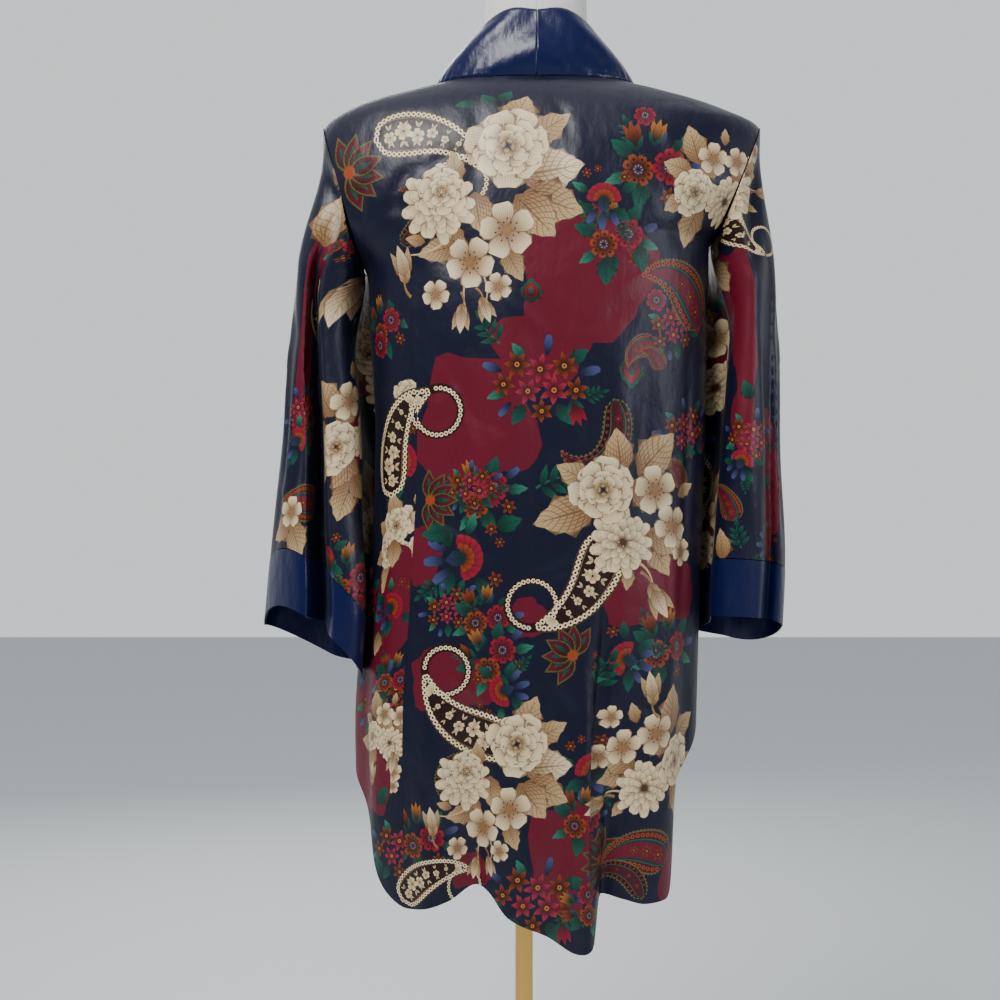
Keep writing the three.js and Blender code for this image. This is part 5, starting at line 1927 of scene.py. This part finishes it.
@dataclass
class DressForm:
    """Linen-covered form with its neck."""

    body: BodyCloth
    around: int = 192
    seam_depth: float = 0.7
    seam_width: float = 0.7
    seam_top: float = 1520.0

    def rings(self) -> dict[str, Table]:
        """Tables of the form's half widths and depths by height."""
        rows = list(NECK_RINGS)
        for z, half, back, front in SEAT_INSETS:
            rings = self.body.rings
            rows.append((z - SEAT_DROP, float(rings["left"](z)) - half - 0.5,
                         float(rings["back"](z)) - back - 0.5, float(rings["front"](z)) - front, 0))
        return columns(rows + list(TORSO_RINGS), "half back front forward")

    def build_body(self, linen: bpy.types.Material) -> bpy.types.Object:
        """The form's smooth body with a sewn line down its back and front."""
        read = self.rings()
        levels = np.concatenate([
            [1524, 1523.6, 1522.6, 1521, 1519, 1516.5, 1514], np.arange(1510, 1360, -2.5),
            np.arange(1360, 772, -10), [770, 766, 763, 761.2, 760]])
        turns = np.linspace(0, 360, self.around, endpoint=False)
        near = np.array([-2.4, -1.6, -1, -0.6, -0.3, 0, 0.3, 0.6, 1, 1.6, 2.4])
        turns = np.unique(np.concatenate([turns, 90 + near, 270 + near]))
        angle, z = np.meshgrid(np.radians(turns), levels)
        c, s = np.cos(angle), np.sin(angle)
        oval = OVAL + (2 - OVAL) * smooth((z - NECK_TOP) / 50)
        depth = np.where(s > 0, read["back"](z), read["front"](z))
        away = np.minimum(np.abs(np.degrees(angle) - 90), np.abs(np.degrees(angle) - 270))
        groove = self.seam_depth * np.exp(-(away / self.seam_width) ** 2) * (z < self.seam_top)
        x = read["half"](z) * np.sign(c) * np.abs(c) ** (2 / oval)
        y = (depth - groove) * np.sign(s) * np.abs(s) ** (2 / oval) - read["forward"](z)
        dip = NECK_DIP * np.where(s > 0, s * s, 0) * np.exp(-((z - NECK_TOP + SEAT_DROP) / 6) ** 2)
        points = lean(np.stack([x, y, z - dip], axis=-1).reshape(-1, 3))
        middle = lean(np.array([[0, -7, 1524.2], [0, 0, 760]]))
        rows, count = angle.shape
        grid = np.arange(rows * count).reshape(rows, count)
        wrap = np.roll(grid, -1, axis=1)
        quads = np.stack([grid[:-1], grid[1:], wrap[1:], wrap[:-1]], axis=-1).reshape(-1, 4).tolist()
        last = rows * count
        quads += [[last, a, b] for a, b in zip(grid[0], wrap[0])]
        quads += [[last + 1, b, a] for a, b in zip(grid[-1], wrap[-1])]
        return smoothed(plain_object("dress_form", np.concatenate([points, middle]), quads, linen))


@dataclass(frozen=True)
class Stand:
    """Turned brass pole, the socket that holds it under the form, and the foot."""

    pole_radius: float = 9.5
    pole_top: float = 759.7
    pole_foot: float = 52.3
    socket_gap: float = 0.3
    around: int = 96
    sharp_from: float = 38.0
    foot: tuple[tuple[float, float], ...] = (
        (0, 0), (163, 0), (165, 2), (165, 9), (163, 11.5), (159, 13), (110, 16), (70, 19), (46, 21.6),
        (30, 25), (22, 29), (18, 34), (16, 42), (16, 51), (15, 52), (0, 52),
    )

    def pieces(self, metal: bpy.types.Material) -> list[bpy.types.Object]:
        """The pole, the socket and the foot.

        Args:
            metal: Their material.

        Returns:
            The three pieces.
        """
        r, bore = self.pole_radius, self.pole_radius + self.socket_gap
        pole = ((0, self.pole_foot), (r, self.pole_foot), (r, self.pole_top), (0, self.pole_top))
        socket = ((bore, -34), (15, -34), (16, -33), (16, -9), (19, -7), (33, -5), (34, -4), (34, 0),
                  (bore, 0), (bore, -34))
        return [self.turned("stand_pole", pole, 0, metal),
                self.turned("form_socket", socket, self.pole_top, metal),
                self.turned("stand_foot", self.foot, 0, metal)]

    def turned(self, name: str, profile: Sequence[tuple[float, float]], z: float,
               metal: bpy.types.Material) -> bpy.types.Object:
        """A turned piece from radii and heights.

        Args:
            name: Its name.
            profile: Radius and height of each point, in millimetres.
            z: Height of its origin.
            metal: Its material.

        Returns:
            The piece.
        """
        a = np.linspace(0, 2 * np.pi, self.around, endpoint=False)
        rows = np.array([[(r * math.cos(t), r * math.sin(t), h + z) for t in a] for r, h in profile])
        grid = np.arange(rows.shape[0] * self.around).reshape(-1, self.around)
        wrap = np.roll(grid, -1, axis=1)
        quads = np.stack([grid[:-1], wrap[:-1], wrap[1:], grid[1:]], axis=-1).reshape(-1, 4)
        made = smoothed(plain_object(name, rows.reshape(-1, 3), quads.tolist(), metal))
        made.data.set_sharp_from_angle(angle=math.radians(self.sharp_from))
        return made


@dataclass(frozen=True)
class SoftLight:
    """A square lamp turned towards the robe, with its place and size in metres."""

    name: str
    place: tuple[float, float, float]
    size: float
    watts: float
    tint: Colour = linear("ffffff")
    target: tuple[float, float, float] = (0, 0, 1.05)

    def build(self) -> bpy.types.Object:
        """The lamp."""
        light = bpy.data.lights.new(self.name, "AREA")
        light.size, light.energy, light.color = self.size, self.watts, self.tint
        lamp = bpy.data.objects.new(self.name, light)
        lamp.location = self.place
        toward = Vector(self.target) - Vector(self.place)
        lamp.rotation_euler = toward.to_track_quat("-Z", "Y").to_euler()
        return lamp


@dataclass(frozen=True)
class Studio:
    """Pale floor, soft lights and a camera behind the wearer."""

    view: PhotoView = PhotoView()
    floor_half: float = 9000.0
    lights: tuple[SoftLight, ...] = (
        SoftLight("key", (0.9, 1.7, 2.7), 1.0, 76),
        SoftLight("fill", (-2.2, 1.5, 1.5), 0.9, 20, linear("f2f5ff")),
        SoftLight("front", (0.6, -2.6, 2.2), 1.8, 42),
        SoftLight("top", (0, 0.3, 3.0), 1.6, 7),
    )

    def build(self) -> None:
        """Makes the camera, floor, lights and surroundings."""
        scene = bpy.context.scene
        scene.camera = self.camera()
        scene.collection.objects.link(scene.camera)
        half = self.floor_half
        corners = np.array([(-half, -half, 0), (half, -half, 0), (half, half, 0), (-half, half, 0)])
        finish = Shader("pale_floor").finish(linear("d3d7da"), Roughness=0.8)
        floor = plain_object("floor", corners, [(0, 1, 2, 3)], finish)
        for light in self.lights:
            scene.collection.objects.link(light.build())
        scene.world = self.surroundings()

    def camera(self) -> bpy.types.Object:
        """The camera, level and looking at the robe's back."""
        camera = bpy.data.cameras.new("camera")
        camera.lens, camera.sensor_width = self.view.lens, self.view.sensor
        made = bpy.data.objects.new("camera", camera)
        made.location = (self.view.x * MM, self.view.y * MM, self.view.z * MM)
        made.rotation_euler = (math.radians(90), 0, math.radians(180))
        return made

    @staticmethod
    def surroundings() -> bpy.types.World:
        """Surroundings that are pale beyond the robe's front and overhead, and dim towards its back."""
        world = bpy.data.worlds.new("surroundings")
        world.use_nodes = True
        nodes, links = world.node_tree.nodes, world.node_tree.links
        place, split = nodes.new("ShaderNodeTexCoord"), nodes.new("ShaderNodeSeparateXYZ")
        links.new(place.outputs["Generated"], split.inputs[0])
        total = nodes.new("ShaderNodeMath")
        for i, (axis, limits) in enumerate(((1, (0.45, -0.45, 0.14, 1.12)), (2, (0.4, 1.0, 0.0, 0.16)))):
            ramp = nodes.new("ShaderNodeMapRange")
            ramp.interpolation_type = "SMOOTHSTEP"
            for socket, limit in zip(list(ramp.inputs)[1:5], limits):
                socket.default_value = limit
            links.new(split.outputs[axis], ramp.inputs[0])
            links.new(ramp.outputs[0], total.inputs[i])
        background = nodes["Background"]
        background.inputs[0].default_value = (*linear("e4e8ea"), 1)
        links.new(total.outputs[0], background.inputs[1])
        return world


# The CAD node that each piece replaces.
NODE_OF = {
    "robe_back": "back", "robe_front_left": "front_left", "robe_front_right": "front_right",
    "robe_sleeve_left": "sleeve_left", "robe_sleeve_right": "sleeve_right",
    "robe_cuff_left": "cuff_left", "robe_cuff_right": "cuff_right",
    "robe_band_left": "band_left", "robe_band_right": "band_right",
    "dress_form": "form_body", "stand_pole": "pole", "form_socket": "pole_socket", "stand_foot": "base",
}


def seat(piece: bpy.types.Object) -> None:
    """Ties a piece to the part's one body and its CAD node."""
    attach(piece, "root")
    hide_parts(NODE_OF[piece.name])
    LOG.info("%s stands for %s", piece.name, NODE_OF[piece.name])


def main() -> None:
    """Builds the studio, the form on its stand, and the robe."""
    logging.basicConfig(level=logging.INFO)
    Studio().build()
    printed = Satin("printed_satin", 0.4).build()
    reverse = Satin("satin_reverse", 0.5, linear("1c1a30")).build()
    navy = Satin("navy_satin", 0.3, linear("0a123c")).build()
    robe = Robe()
    linen = Linen("form_linen", linear("eceae4")).build()
    seat(DressForm(robe.body).build_body(linen))
    brass = Brass("stand_brass", linear("cfa45a")).build()
    for piece in Stand().pieces(brass):
        seat(piece)
    for panel in robe.panels():
        plain = "cuff" in panel.name
        piece = panel.build(navy if plain else printed, navy if plain else reverse)
        seat(piece)
    for name in ("left", "right"):
        seat(Band(name, robe.body).build(navy))


if __name__ == "__main__":
    main()
